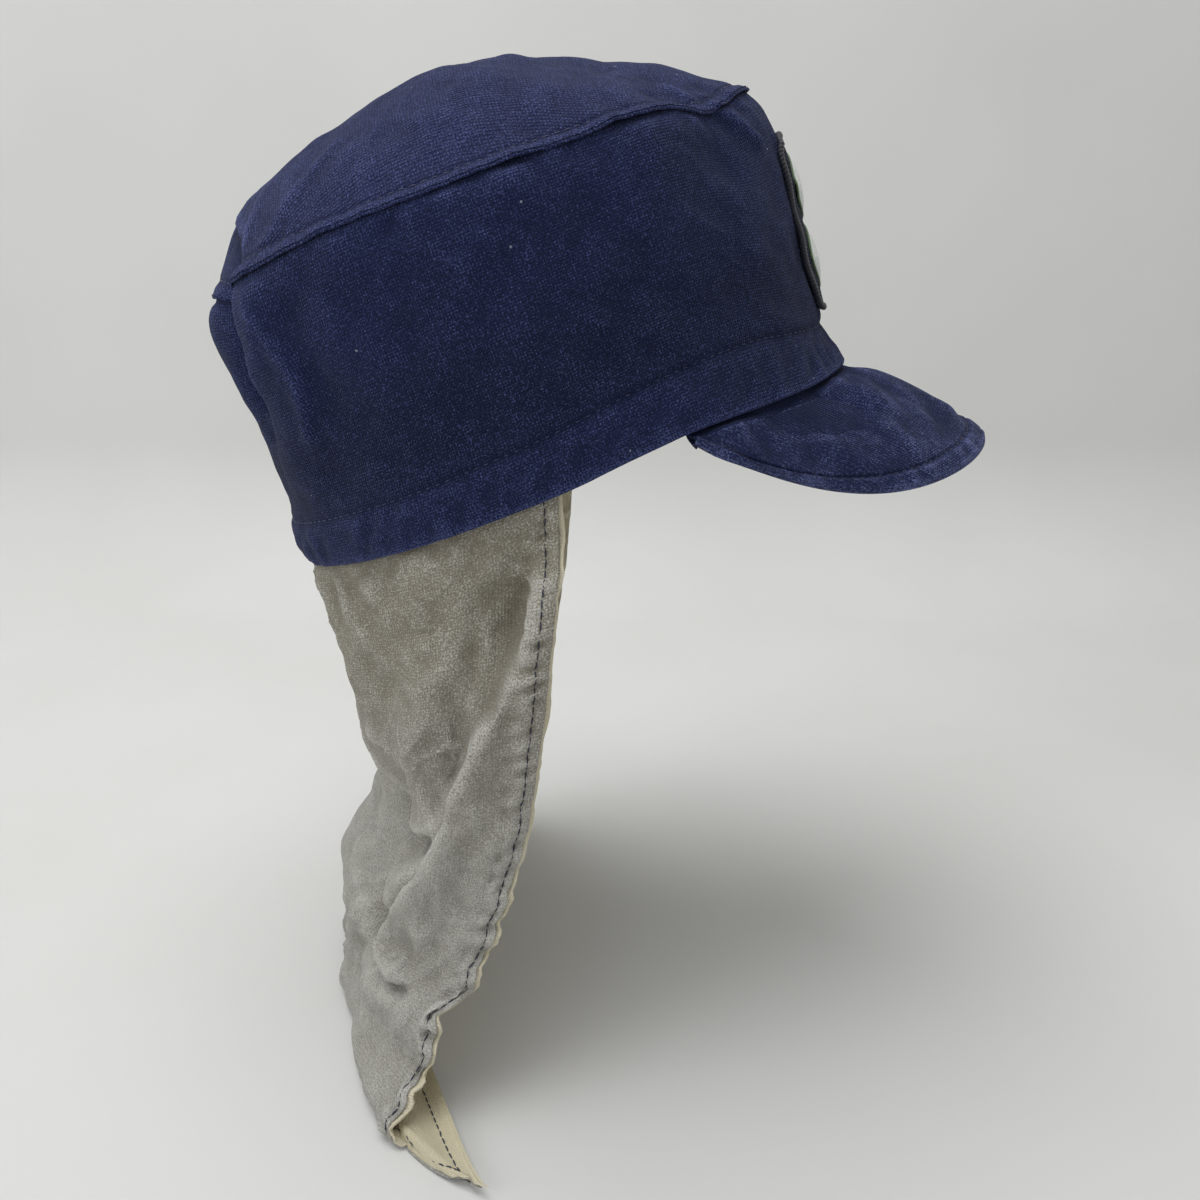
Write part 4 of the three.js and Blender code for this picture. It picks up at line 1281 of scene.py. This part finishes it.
@dataclass
class Badge:
    """The cloth badge on the front: dark twill with an overlocked edge and two raised lozenges."""

    form: CapForm
    width: float = 60.0
    tall: float = 57.0
    centre: float = 49.5
    squareness: float = 5.0
    cloth: float = 1.0
    rest: float = 1.5
    lozenge_width: float = 40.0
    lozenge_tall: float = 20.0
    lozenge_squareness: float = 1.6
    lozenge_heights: tuple[float, float] = (61.0, 38.0)
    twill_pitch: float = 1.8
    twill_relief: float = 0.07
    padding: float = 2.3
    satin_cloth: float = 0.3
    satin_pitch: float = 0.9
    satin_relief: float = 0.09
    waves: Ripple = Ripple(14, 0.25, 41)
    cord_sides: int = 10
    cord_flatness: float = 0.75
    cord_relief: float = 0.13

    def spot(self, middle: float, x: Grid, y: Grid, outside: Grid) -> Grid:
        """Points on the front of the cap, millimetres across and up from a middle height."""
        turn = x * 360 / self.form.girth
        level = (middle + y) / self.form.seam_height
        return self.form.worn(self.form.point(turn, level, outside))

    def outline(self, sides: int, size: tuple[float, float], squareness: float) -> tuple[Grid, Grid]:
        """Places round a rounded shape: across and up from its middle."""
        angle = np.arange(sides) * 2 * math.pi / sides
        c, s = np.cos(angle), np.sin(angle)
        reach = 1 / (np.abs(c) ** squareness + np.abs(s) ** squareness) ** (1 / squareness)
        return c * reach * size[0] / 2, s * reach * size[1] / 2

    def rounded(
        self, sides: int, size: tuple[float, float], squareness: float, rings: int
    ) -> tuple[Grid, Grid, Grid]:
        """Places in a rounded shape: across, up, and the share out from its middle."""
        share = np.sin(np.linspace(1, 0, rings) * math.pi / 2)[:, None] ** 0.8
        x, y = self.outline(sides, size, squareness)
        return x * share, y * share, share + 0 * x

    def _sheet(
        self, name: str, x: Grid, y: Grid, points: Grid, cloth: float, rounding: float
    ) -> bpy.types.Object:
        """Make a sheet of rounded shape from its places and its points."""
        flat = np.stack([x, y], axis=-1) + UV_SPAN
        flat = np.concatenate([flat, flat[:, :1]], axis=1)
        return ClothMesh(name, points, flat, cloth, wraps=True, pole=True, rounding=rounding).build()

    def build(self) -> list[bpy.types.Object]:
        """Make the badge's ground, border, lozenges and outlines."""
        pieces = [self._ground(), self._border()]
        for name, height in zip(("upper", "lower"), self.lozenge_heights):
            pieces.append(self._lozenge(name, height))
            pieces.append(self._outline(name, height))
        return pieces

    def _ground(self) -> bpy.types.Object:
        """Make the twill ground."""
        x, y, share = self.rounded(160, (self.width, self.tall), self.squareness, 26)
        wavy = self.waves.relief(x, y) * share
        twill = self.twill_relief * np.sin((x + y) * 2 * math.pi / self.twill_pitch)
        points = self.spot(self.centre, x, y, self.rest + wavy + twill)
        ground = self._sheet("badge_ground", x, y, points, self.cloth, 0.35)
        attach(ground, Finish.BADGE_TWILL)
        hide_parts("badge_patch")
        return ground

    def _cord(
        self, name: str, finish: Finish, route: tuple[Grid, Grid], radius: float, twists: int
    ) -> bpy.types.Object:
        """Make a closed cord of overlocked thread along a route on the front.

        Args:
            name: The piece's name.
            finish: Its finish.
            route: Points round the cord's middle, and the cloth's normals there.
            radius: Half the cord's width.
            twists: How many threads lie round it.

        Returns:
            The cord.
        """
        points, normals = route
        count, sides = len(points), self.cord_sides
        ahead = unit(np.roll(points, -1, axis=0) - np.roll(points, 1, axis=0))
        aside = unit(np.cross(ahead, normals))
        up = self.cord_flatness * np.cross(aside, ahead)
        angle = np.arange(sides) * 2 * math.pi / sides
        turn = np.arange(count)[:, None] * 2 * math.pi * twists / count
        size = radius * (1 + self.cord_relief * np.sin(turn + angle))
        offset = np.cos(angle)[:, None] * aside[:, None] + np.sin(angle)[:, None] * up[:, None]
        tube = points[:, None] + offset * size[..., None]
        index = np.arange(count * sides).reshape(count, sides)
        after, beside = np.roll(index, -1, axis=0), np.roll(index, -1, axis=1)
        corner = np.roll(after, -1, axis=1)
        faces = np.stack([index, beside, corner, after], axis=-1).reshape(-1, 4)
        piece = new_piece(name, tube, faces.tolist())
        bpy.ops.object.mode_set(mode="EDIT")
        bpy.ops.mesh.select_all(action="SELECT")
        bpy.ops.mesh.normals_make_consistent(inside=False)
        bpy.ops.object.mode_set(mode="OBJECT")
        bpy.ops.object.shade_smooth()
        attach(piece, finish)
        return piece

    def _route(
        self, middle: float, size: tuple[float, float], squareness: float, outside: float, count: int
    ) -> tuple[Grid, Grid]:
        """Points and normals round a rounded shape on the front."""
        x, y = self.outline(count, size, squareness)
        wavy = self.waves.relief(x, y) if squareness == self.squareness else 0 * x
        points = self.spot(middle, x, y, outside + wavy)
        return points, points - self.spot(middle, x, y, outside + wavy - 1)

    def _border(self) -> bpy.types.Object:
        """Make the overlocked border."""
        size = (self.width - 1.6, self.tall - 1.6)
        route = self._route(self.centre, size, self.squareness, self.rest - 0.1, 900)
        return self._cord("badge_border", Finish.DARK_THREAD, route, 1.15, 170)

    def _lozenge(self, name: str, height: float) -> bpy.types.Object:
        """Make a lozenge of satin stitches over padding."""
        size = (self.lozenge_width, self.lozenge_tall)
        x, y, share = self.rounded(140, size, self.lozenge_squareness, 22)
        padding = self.padding * (1 - share**2) ** 0.6
        threads = self.satin_relief * np.sin(x * 2 * math.pi / self.satin_pitch) * (1 - share**6)
        points = self.spot(height, x, y, self.rest + 0.35 + padding + threads)
        piece = self._sheet(f"badge_satin_{name}", x, y, points, self.satin_cloth, 0)
        attach(piece, Finish.WHITE_THREAD)
        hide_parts(f"badge_lozenge_{name}")
        return piece

    def _outline(self, name: str, height: float) -> bpy.types.Object:
        """Make the thin green outline of a lozenge."""
        size = (self.lozenge_width + 1.2, self.lozenge_tall + 1.2)
        route = self._route(height, size, self.lozenge_squareness, self.rest + 0.45, 420)
        return self._cord(f"badge_outline_{name}", Finish.GREEN_THREAD, route, 0.55, 90)


# ---------------------------------------------------------------------------------------------
# The neck flap.


@dataclass
class NeckFlap:
    """The long flap: grey cotton over a cream lining, hung from inside the hem.

    A place on it is millimetres across from the near edge and millimetres down from the hem. It
    turns in under itself at the surface below, and its near corner swings forward there.
    """

    form: CapForm
    start_turn: float = 91.0
    tuck: float = 10.0
    inset: float = 2.5
    surface_z: float = -196.0
    hem_follow: float = 0.12
    span: float = 280.0
    drop: float = 197.0
    roll_radius: float = 5.0
    roll_lean: float = 20.0
    laid_width: float = 20.0
    laid_rise: float = 2.6
    corner_width: float = 14.0
    corner_heading: tuple[float, float] = (0.3, -0.95)
    corner_swing: tuple[float, float] = (-23.6, -11.7)
    corner_reach: float = 55.0
    cloth: float = 0.9
    lining_gap: float = 0.25
    lining_slack: float = 3.2
    lining_cloth: float = 0.7
    shows: float = 1.6
    pitch: float = 1.3
    band: float = 3.6
    allowance: float = 9.0
    groove_depth: float = 0.6
    step: float = 0.8
    step_width: float = 0.7
    resting: float = 0.55
    stitch_lift: float = 0.28
    sections: Table = Table(
        ("drop", "half", "front", "back", "taper"),
        (
            (0, 80.5, 2.0, 95.0, 1),
            (0.1, 81.4, 2.8, 90.5, 1),
            (0.2, 82.8, 4.8, 85.5, 1),
            (0.3, 84.5, 7.0, 82.0, 1),
            (0.42, 87.2, 10.0, 77.0, 1),
            (0.54, 90.2, 13.8, 72.6, 1),
            (0.63, 92.9, 19.1, 76.5, 1.05),
            (0.71, 95.4, 24.0, 84.4, 1.1),
            (0.79, 98.0, 31.0, 89.5, 1.15),
            (0.84, 99.6, 40.5, 90.0, 1.3),
            (0.92, 102.5, 45.0, 91.0, 1.45),
            (1, 113.0, 55.0, 94.0, 1.6),
        ),
    )
    folds: tuple[Fold, ...] = (
        Fold((2, 12), (14, 84), (72, 142), 26, 10, 8.0),
        Fold((8, -14), (22, 66), (62, 112), 10, 12, -7.0),
        Fold((16, 6), (26, 52), (38, 92), 10, 14, 3.0),
        Fold((44, 30), (46, 72), (56, 116), 12, 16, 4.0),
        Fold((76, 74), (86, 104), (92, 142), 14, 16, -10.0),
        Fold((86, 132), (52, 152), (6, 158), 10, 12, -6.0),
        Fold((50, 176), (34, 160), (-8, 172), 12, 12, 3.0),
        Fold((140, 96), (138, 130), (134, 186), 18, 18, 4.0),
        Fold((206, 20), (198, 90), (186, 170), 18, 16, -7.0),
        Fold((234, 30), (226, 96), (212, 176), 16, 18, 6.0),
        Fold((262, 10), (254, 96), (238, 168), 14, 12, -6.0),
    )
    details: tuple[Shape, ...] = (
        Lap(
            (
                (8, 17), (9.5, 35), (13, 48), (18, 61), (26, 75), (33, 89), (40, 108),
                (48, 121), (52, 130), (65, 144), (66, 153), (60, 158), (44, 160), (24.5, 161),
            ),
            lift=2.8, over=11.0, sink=5.2, under=9.0, edge=2.9,
        ),
        Lap(
            ((112, 64), (105, 80), (95, 95), (82, 104), (60, 106), (42, 101)),
            lift=2.2, over=10.0, sink=8.5, under=12.0, edge=3.0,
        ),
        Crease(((52, 79), (52.5, 93), (39, 102)), 1.5, 2.5),
        Crease(((21.7, 21), (23.8, 50), (35, 72)), 1.3, 4.0),
        Crease(((7.7, 1.5), (5.6, 15), (11, 27), (13, 39), (15, 54)), -1.3, 4.0),
        Crease(((62, 47), (56, 52), (50, 59)), -0.9, 2.5),
        Crease(((36, 14), (40, 30), (38, 46)), -0.8, 4.0),
        Crease(((93, 154), (79, 142), (52, 129)), 1.2, 3.0),
        Crease(((82, 155), (72, 158), (61, 158)), 1.0, 3.0),
        Crease(((33, 153), (26, 150), (18, 146)), 1.3, 3.0),
        Crease(((60, 157), (58, 170), (57, 178), (42, 197)), 1.3, 3.2),
        Crease(((74, 160), (70, 176), (58, 196)), -1.2, 4.0),
        Crease(((90, 158), (86, 174), (78, 194)), 1.4, 4.0),
        Crease(((108, 160), (106, 178), (104, 196)), -1.3, 5.0),
        Crease(((36, 166), (30, 180), (20, 196)), -1.2, 4.0),
        Crease(((101, 6), (97, 24), (95, 39)), 1.2, 3.0),
        Crease(((92, 4), (89, 18), (88, 30)), -1.0, 3.0),
        Crease(((110, 5), (108, 20), (105, 36)), -1.0, 3.0),
        Crease(((82, 4), (80, 16), (80, 26)), 0.9, 2.6),
        Crease(((30, 118), (24, 126), (10, 130)), -1.0, 3.5),
        Crease(((44, 134), (34, 140), (22, 140)), 1.0, 3.0),
        Crease(((128, 20), (126, 60), (132, 100)), 1.2, 4.0),
        Crease(((152, 30), (150, 80), (158, 140)), -1.4, 5.0),
        Crease(((176, 60), (170, 110), (160, 170)), 1.4, 5.0),
        Crease(((220, 50), (214, 100), (204, 150)), -1.2, 4.0),
    )
    slow: tuple[Ripple, ...] = (Ripple(38, 1.0, 53), Ripple(17, 0.5, 54))
    fine: Ripple = Ripple(7, 0.13, 55)
    wrinkles: tuple[Ripple, ...] = (Ripple(30, 1.1, 56, 0.6, 25), Ripple(18, 0.7, 61, 0.7, -40))
    gathers: Ripple = Ripple(9, 0.5, 57, 4.0)
    puckers: Ripple = Ripple(4.6, 0.6, 51, 5.0)
    beyond: Ripple = Ripple(7.0, 0.7, 52, 4.0)
    ruffle: Ripple = Ripple(9, 1.4, 60, 5.0)
    edge_waves: tuple[Ripple, ...] = (Ripple(8, 1.2, 62), Ripple(4.5, 0.5, 63))
    uneven: tuple[Ripple, ...] = (Ripple(14, 0.35, 58), Ripple(40, 0.3, 59))

    @property
    def laid_length(self) -> float:
        """Length of the cloth that turns in at its foot and lies on the surface."""
        return self.roll_radius * 2 + self.laid_width

    def in_hem(self, across: Grid, height: Grid) -> Grid:
        """Points inside the cap's hem, by the share across and a height above the rim."""
        turn = self.start_turn + across * (360 - 2 * self.start_turn)
        level = height / self.form.seam_height
        return self.form.worn(self.form.point(turn, level, np.full(turn.shape, -self.inset)))

    def hung(self, across: Grid, drop: Grid) -> Grid:
        """Points of the hanging cloth's smooth form, by shares across and down."""
        hem = self.in_hem(across, np.zeros(across.shape))
        reads = {name: self.sections.read(name, drop) for name in self.sections.columns[1:]}
        reach = reads["back"] - reads["front"]
        flat = self.form.plan((across + 0.5) * 180, reach, reach, reads["half"], reads["taper"])
        foot = self.surface_z + self.roll_radius * (1 + math.sin(math.radians(self.roll_lean)))
        z = hem[..., 2] + (foot - hem[..., 2]) * drop
        lower = np.stack([flat[..., 0], flat[..., 1] + reads["front"], z], axis=-1)
        hem[..., 2] = z
        share = ease(0, self.hem_follow, drop)[..., None]
        return hem * (1 - share) + lower * share

    def hung_normal(self, across: Grid, drop: Grid) -> Grid:
        """Outward unit normals of the hanging cloth's smooth form."""
        step = 0.01
        low = np.minimum(drop, 1 - step)
        down = self.hung(across, low + step) - self.hung(across, low)
        along = self.hung(across + step, drop) - self.hung(across - step, drop)
        return unit(np.cross(along, down))

    def laid(self, across: Grid, laid: Grid) -> Grid:
        """Points of what lies on the surface, from 0 where the cloth ends hanging to 1 at the hem."""
        foot = self.hung(across, np.ones(across.shape))
        corner = self.hung(np.zeros(1), np.ones(1))[0]
        near = np.exp(-((across * self.span / self.corner_reach) ** 2))
        inward = unit(np.stack([-foot[..., 0], corner[1] - foot[..., 1]], axis=-1))
        inward = unit(inward + (np.array(self.corner_heading) - inward) * near[..., None])
        roll = np.minimum(laid / 0.5, 1)
        run = np.maximum(laid - 0.5, 0) / 0.5
        lean = math.radians(self.roll_lean)
        angle = -lean + (math.pi / 2 + lean) * roll
        width = self.laid_width + (self.corner_width - self.laid_width) * near
        inset = self.roll_radius * (math.cos(lean) - np.cos(angle)) + run * width
        x = foot[..., 0] + inward[..., 0] * inset + self.corner_swing[0] * near * run**0.6
        y = foot[..., 1] + inward[..., 1] * inset + self.corner_swing[1] * near * run**0.6
        z = self.surface_z + self.roll_radius * (1 - np.sin(angle)) + run**2 * self.laid_rise
        return np.stack([x, y, z], axis=-1)

    def relief(self, across: Grid, down: Grid, length: float) -> Grid:
        """Unevenness of the cloth: its band, stitch groove, puckers and crumples.

        Args:
            across: Millimetres from the near edge.
            down: Millimetres down the cloth from the hem.
            length: The cloth's whole length down.

        Returns:
            Height outside the folded form, in millimetres.
        """
        side = np.minimum(across, self.span - across)
        foot = length - down
        edge = np.minimum(side, foot)
        run = np.where(side < foot, down, across)
        puckers = self.puckers.relief(run, edge) * bump(edge, self.band + 0.8, 3.4)
        groove = -self.groove_depth * bump(edge, self.band, 1.0)
        beyond = self.beyond.relief(run, edge) * bump(edge, self.allowance, 3.0)
        past = ease(self.allowance - self.step_width, self.allowance + self.step_width, edge)
        allowance = self.step * (1 - past)
        ruffle = self.ruffle.relief(run, edge) * bump(edge, 0, 8) * ease(90, 140, run)
        middle = folded(self.slow, across, down)
        middle += sum(ripple.creases(across, down) for ripple in self.wrinkles)
        middle *= ease(self.band, self.band + 10, edge)
        gathers = self.gathers.relief(across, down) * (1 - ease(0, 22, down))
        seam = groove + puckers + beyond + allowance + ruffle
        return middle + self.fine.relief(across, down) + seam + gathers

    def grid(self) -> tuple[Grid, Grid, Grid]:
        """Lay out the outer face.

        Returns:
            The points, and the millimetres across and down of each.
        """
        across = np.linspace(0, 1, int(self.span / self.pitch) + 1)
        tucked = np.linspace(self.tuck, self.pitch, 6)
        hanging = np.linspace(0, 1, int(self.drop / self.pitch) + 1)
        laid = np.linspace(0, 1, 26)[1:]
        a, t = np.meshgrid(across, tucked)
        b, h = np.meshgrid(across, hanging)
        c, g = np.meshgrid(across, laid)
        lift = folded(self.folds, b * self.span, h * self.drop)
        lift *= ease(0, self.hem_follow, h) * (1 - ease(0.9, 1, h))
        lift += folded(self.details, b * self.span, h * self.drop) * (1 - ease(0.93, 1, h))
        hung = self.hung(b, h) + self.hung_normal(b, h) * lift[..., None]
        points = np.concatenate((self.in_hem(a, t), hung, self.laid(c, g)))
        down = np.concatenate((-t, h * self.drop, self.drop + g * self.laid_length))
        return points, np.concatenate((a, b, c)) * self.span, down

    def build(self) -> list[bpy.types.Object]:
        """Make the flap, its lining and their stitches."""
        base, across, down = self.grid()
        normal = grid_normals(base, False)
        flat_rows = down > self.drop + self.resting * self.laid_length
        normal[flat_rows] = [0.0, 0.0, -1.0]
        length = float(down.max())
        relief = self.relief(across, down, length) * ease(-1, 6, down)
        relief = np.where(flat_rows, np.clip(relief, -1.0, 0.0), relief)
        face = self._ruffled(base + normal * relief[..., None], across, down)
        face[..., 2] = np.maximum(face[..., 2], self.surface_z)
        flat = np.stack([across, down], axis=-1) + UV_SPAN
        shaded = np.clip(proud(face, False, 3), -1.0, 1.0)
        side = np.minimum(across, self.span - across)
        # Painted light on the ridges of the folds and painted shade in their hollows, with real wear
        # along the edge band.
        wear_and_shade = 0.5 + 0.45 * shaded + 0.12 * (1 - ease(self.band - 1, self.band + 6, side))
        # A real change from warm to cooler grey down the flap, with painted light: the lower flap is
        # painted lighter, as if the floor lit it and the cap shaded it less.
        fall_tone_and_shading = ease(20, 130, down)
        outer = ClothMesh(
            "neck_flap_cotton", face, flat, self.cloth, wear_and_shade=wear_and_shade, fall_tone_and_shading=fall_tone_and_shading, mirrored=True
        ).build()
        attach(outer, Finish.GREY_COTTON)
        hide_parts("neck_flap")
        slack = self.lining_slack * ease(3, 12, np.minimum(side, length - down)) * ease(0, 20, down)
        behind = face - normal * (self.cloth + self.lining_gap + slack)[..., None]
        behind[..., 2] = np.maximum(behind[..., 2], self.surface_z + self.cloth + self.lining_gap)
        behind = self._reaching(behind)
        # Painted highlight: the lining's edge is painted paler, on top of the flap's painted light and
        # shade of its folds.
        lining_shade_and_edge_highlight = wear_and_shade - 0.1 + 0.6 * (1 - ease(0, 3, side))
        cream = ClothMesh(
            "neck_flap_lining", behind, flat, self.lining_cloth, wear_and_shade=lining_shade_and_edge_highlight, fall_tone_and_shading=fall_tone_and_shading, mirrored=True
        ).build()
        attach(cream, Finish.CREAM_LINING)
        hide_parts("flap_lining")
        return [outer, cream, self._stitches(face, behind, normal, across, down, length)]

    def _ruffled(self, points: Grid, across: Grid, down: Grid) -> Grid:
        """Wave the near edge in and out in the cloth's own plane, toward its foot."""
        wave = folded(self.edge_waves, down, 0 * down) * bump(across, 0, 9)
        wave *= 0.25 + 0.75 * ease(110, 145, down)
        wave *= ease(4, 20, down) * (1 - ease(205, 216, down))
        return points + unit(np.gradient(points, axis=1)) * wave[..., None]

    def _reaching(self, points: Grid) -> Grid:
        """Let the lining's side edges and hem reach a little past the flap, unevenly."""
        wide = points.copy()
        run = np.arange(points.shape[0]) * self.pitch
        amount = np.clip(self.shows + folded(self.uneven, run, 0 * run), 0.25, 2.0)[:, None]
        for edge, inner in ((0, 2), (-1, -3)):
            wide[:, edge] += unit(points[:, edge] - points[:, inner]) * amount
        wide[-1] += unit(points[-1] - points[-3]) * self.shows
        return wide

    def _stitches(
        self, face: Grid, behind: Grid, normal: Grid, across: Grid, down: Grid, length: float
    ) -> bpy.types.Object:
        """Sew the stitch line round the flap's edges, on both faces."""
        column = int(np.argmin(np.abs(across[0] - self.band)))
        row = int(np.argmin(np.abs(down[:, 0] - (length - self.band))))
        last = face.shape[1] - 1 - column
        below_hem = slice(5, row + 1)
        edges = ((below_hem, column), (below_hem, last), (row, slice(column, last + 1)))
        under = behind - normal * self.lining_cloth
        lines = []
        for surface, up in ((face, normal), (under, -normal)):
            raised = surface + up * self.stitch_lift
            lines.extend((raised[edge], up[edge]) for edge in edges)
        stitches = Seam(
            "flap_stitches", Finish.NAVY_THREAD, "grey_cotton",
            length=2.9, gap=0.3, width=0.5, sink=0.05, seed=8,
        )
        return stitches.build(lines)


# ---------------------------------------------------------------------------------------------
# The studio.


@dataclass(frozen=True)
class Lamp:
    """A round soft lamp: its place, the point it faces and its width, and its power in watts."""

    name: str
    place: tuple[float, float, float]
    aim: tuple[float, float, float]
    width: float
    power: float

    def hang(self) -> None:
        """Hang the lamp."""
        light = bpy.data.lights.new(self.name, "AREA")
        light.shape = "DISK"
        light.size = self.width * MM
        light.energy = self.power
        lamp = bpy.data.objects.new(self.name, light)
        bpy.context.scene.collection.objects.link(lamp)
        lamp.location = Vector(self.place) * MM
        heading = Vector(self.aim) - Vector(self.place)
        lamp.rotation_euler = heading.to_track_quat("-Z", "Y").to_euler()


@dataclass
class Studio:
    """A pale floor that curves up behind, soft light from above and one camera."""

    surface_z: float = -196.5
    near: float = -1600.0
    far: float = 420.0
    bend: float = 120.0
    wide: float = 3000.0
    tall: float = 2200.0
    camera_at: tuple[float, float, float] = (-389.0, -9.0, 66.0)
    pitch_down: float = 17.05
    sensor: float = 36.0
    half_frame: float = 600.0
    focal: float = 1100.0
    room_colour: str = "#edeeef"
    room_light: float = 0.44
    lamps: tuple[Lamp, ...] = (
        Lamp("soft_overhead", (-100, 200, 1300), (0, 0, 0), 1300, 13.0),
        Lamp("soft_window", (-800, 1300, 750), (0, 0, -50), 1000, 5.5),
    )

    def build(self) -> None:
        """Make the floor, the lights and the camera."""
        self._floor()
        for lamp in self.lamps:
            lamp.hang()
        self._room()
        self._camera()

    def _floor(self) -> None:
        """Make the floor and the backdrop as one swept sheet."""
        angles = np.linspace(0, math.pi / 2, 17)
        sweep = [(self.near, 0.0)]
        sweep += [(self.far + self.bend * math.sin(a), self.bend * (1 - math.cos(a))) for a in angles]
        sweep += [(self.far + self.bend, self.tall)]
        points = [(x, y, self.surface_z + z) for x, z in sweep for y in (-self.wide, self.wide)]
        faces = [[2 * i, 2 * i + 2, 2 * i + 3, 2 * i + 1] for i in range(len(sweep) - 1)]
        floor = new_piece("studio_floor", np.array(points), faces)
        bpy.ops.object.shade_smooth()
        dress(floor, Finish.FLOOR_PAINT)

    def _room(self) -> None:
        """Set the room's even light."""
        world = bpy.data.worlds.new("even_room_light")
        world.use_nodes = True
        inputs = world.node_tree.nodes["Background"].inputs
        inputs["Color"].default_value = linear(self.room_colour)
        inputs["Strength"].default_value = self.room_light
        bpy.context.scene.world = world

    def _camera(self) -> None:
        """Place the camera and make it the scene's."""
        lens = bpy.data.cameras.new("studio_camera")
        lens.sensor_width = self.sensor
        lens.lens = self.sensor * self.focal / (2 * self.half_frame)
        lens.clip_start = 10 * MM
        camera = bpy.data.objects.new("studio_camera", lens)
        bpy.context.scene.collection.objects.link(camera)
        camera.location = Vector(self.camera_at) * MM
        pitch = math.radians(self.pitch_down)
        look = Vector((math.cos(pitch), 0.0, -math.sin(pitch)))
        camera.rotation_euler = look.to_track_quat("-Z", "Y").to_euler()
        bpy.context.scene.camera = camera


def main() -> None:
    """Build the hat's parts in order, then the studio."""
    logging.basicConfig(level=logging.INFO, format="%(name)s: %(message)s")
    bpy.context.scene.view_settings.view_transform = "Standard"
    Studio().build()
    form = CapForm()
    for part in (SideBand(form), CrownTip(form), Peak(form), Badge(form), NeckFlap(form)):
        for piece in part.build():
            LOG.info("%s: %d faces", piece.name, len(piece.data.polygons))


if __name__ == "__main__":
    main()
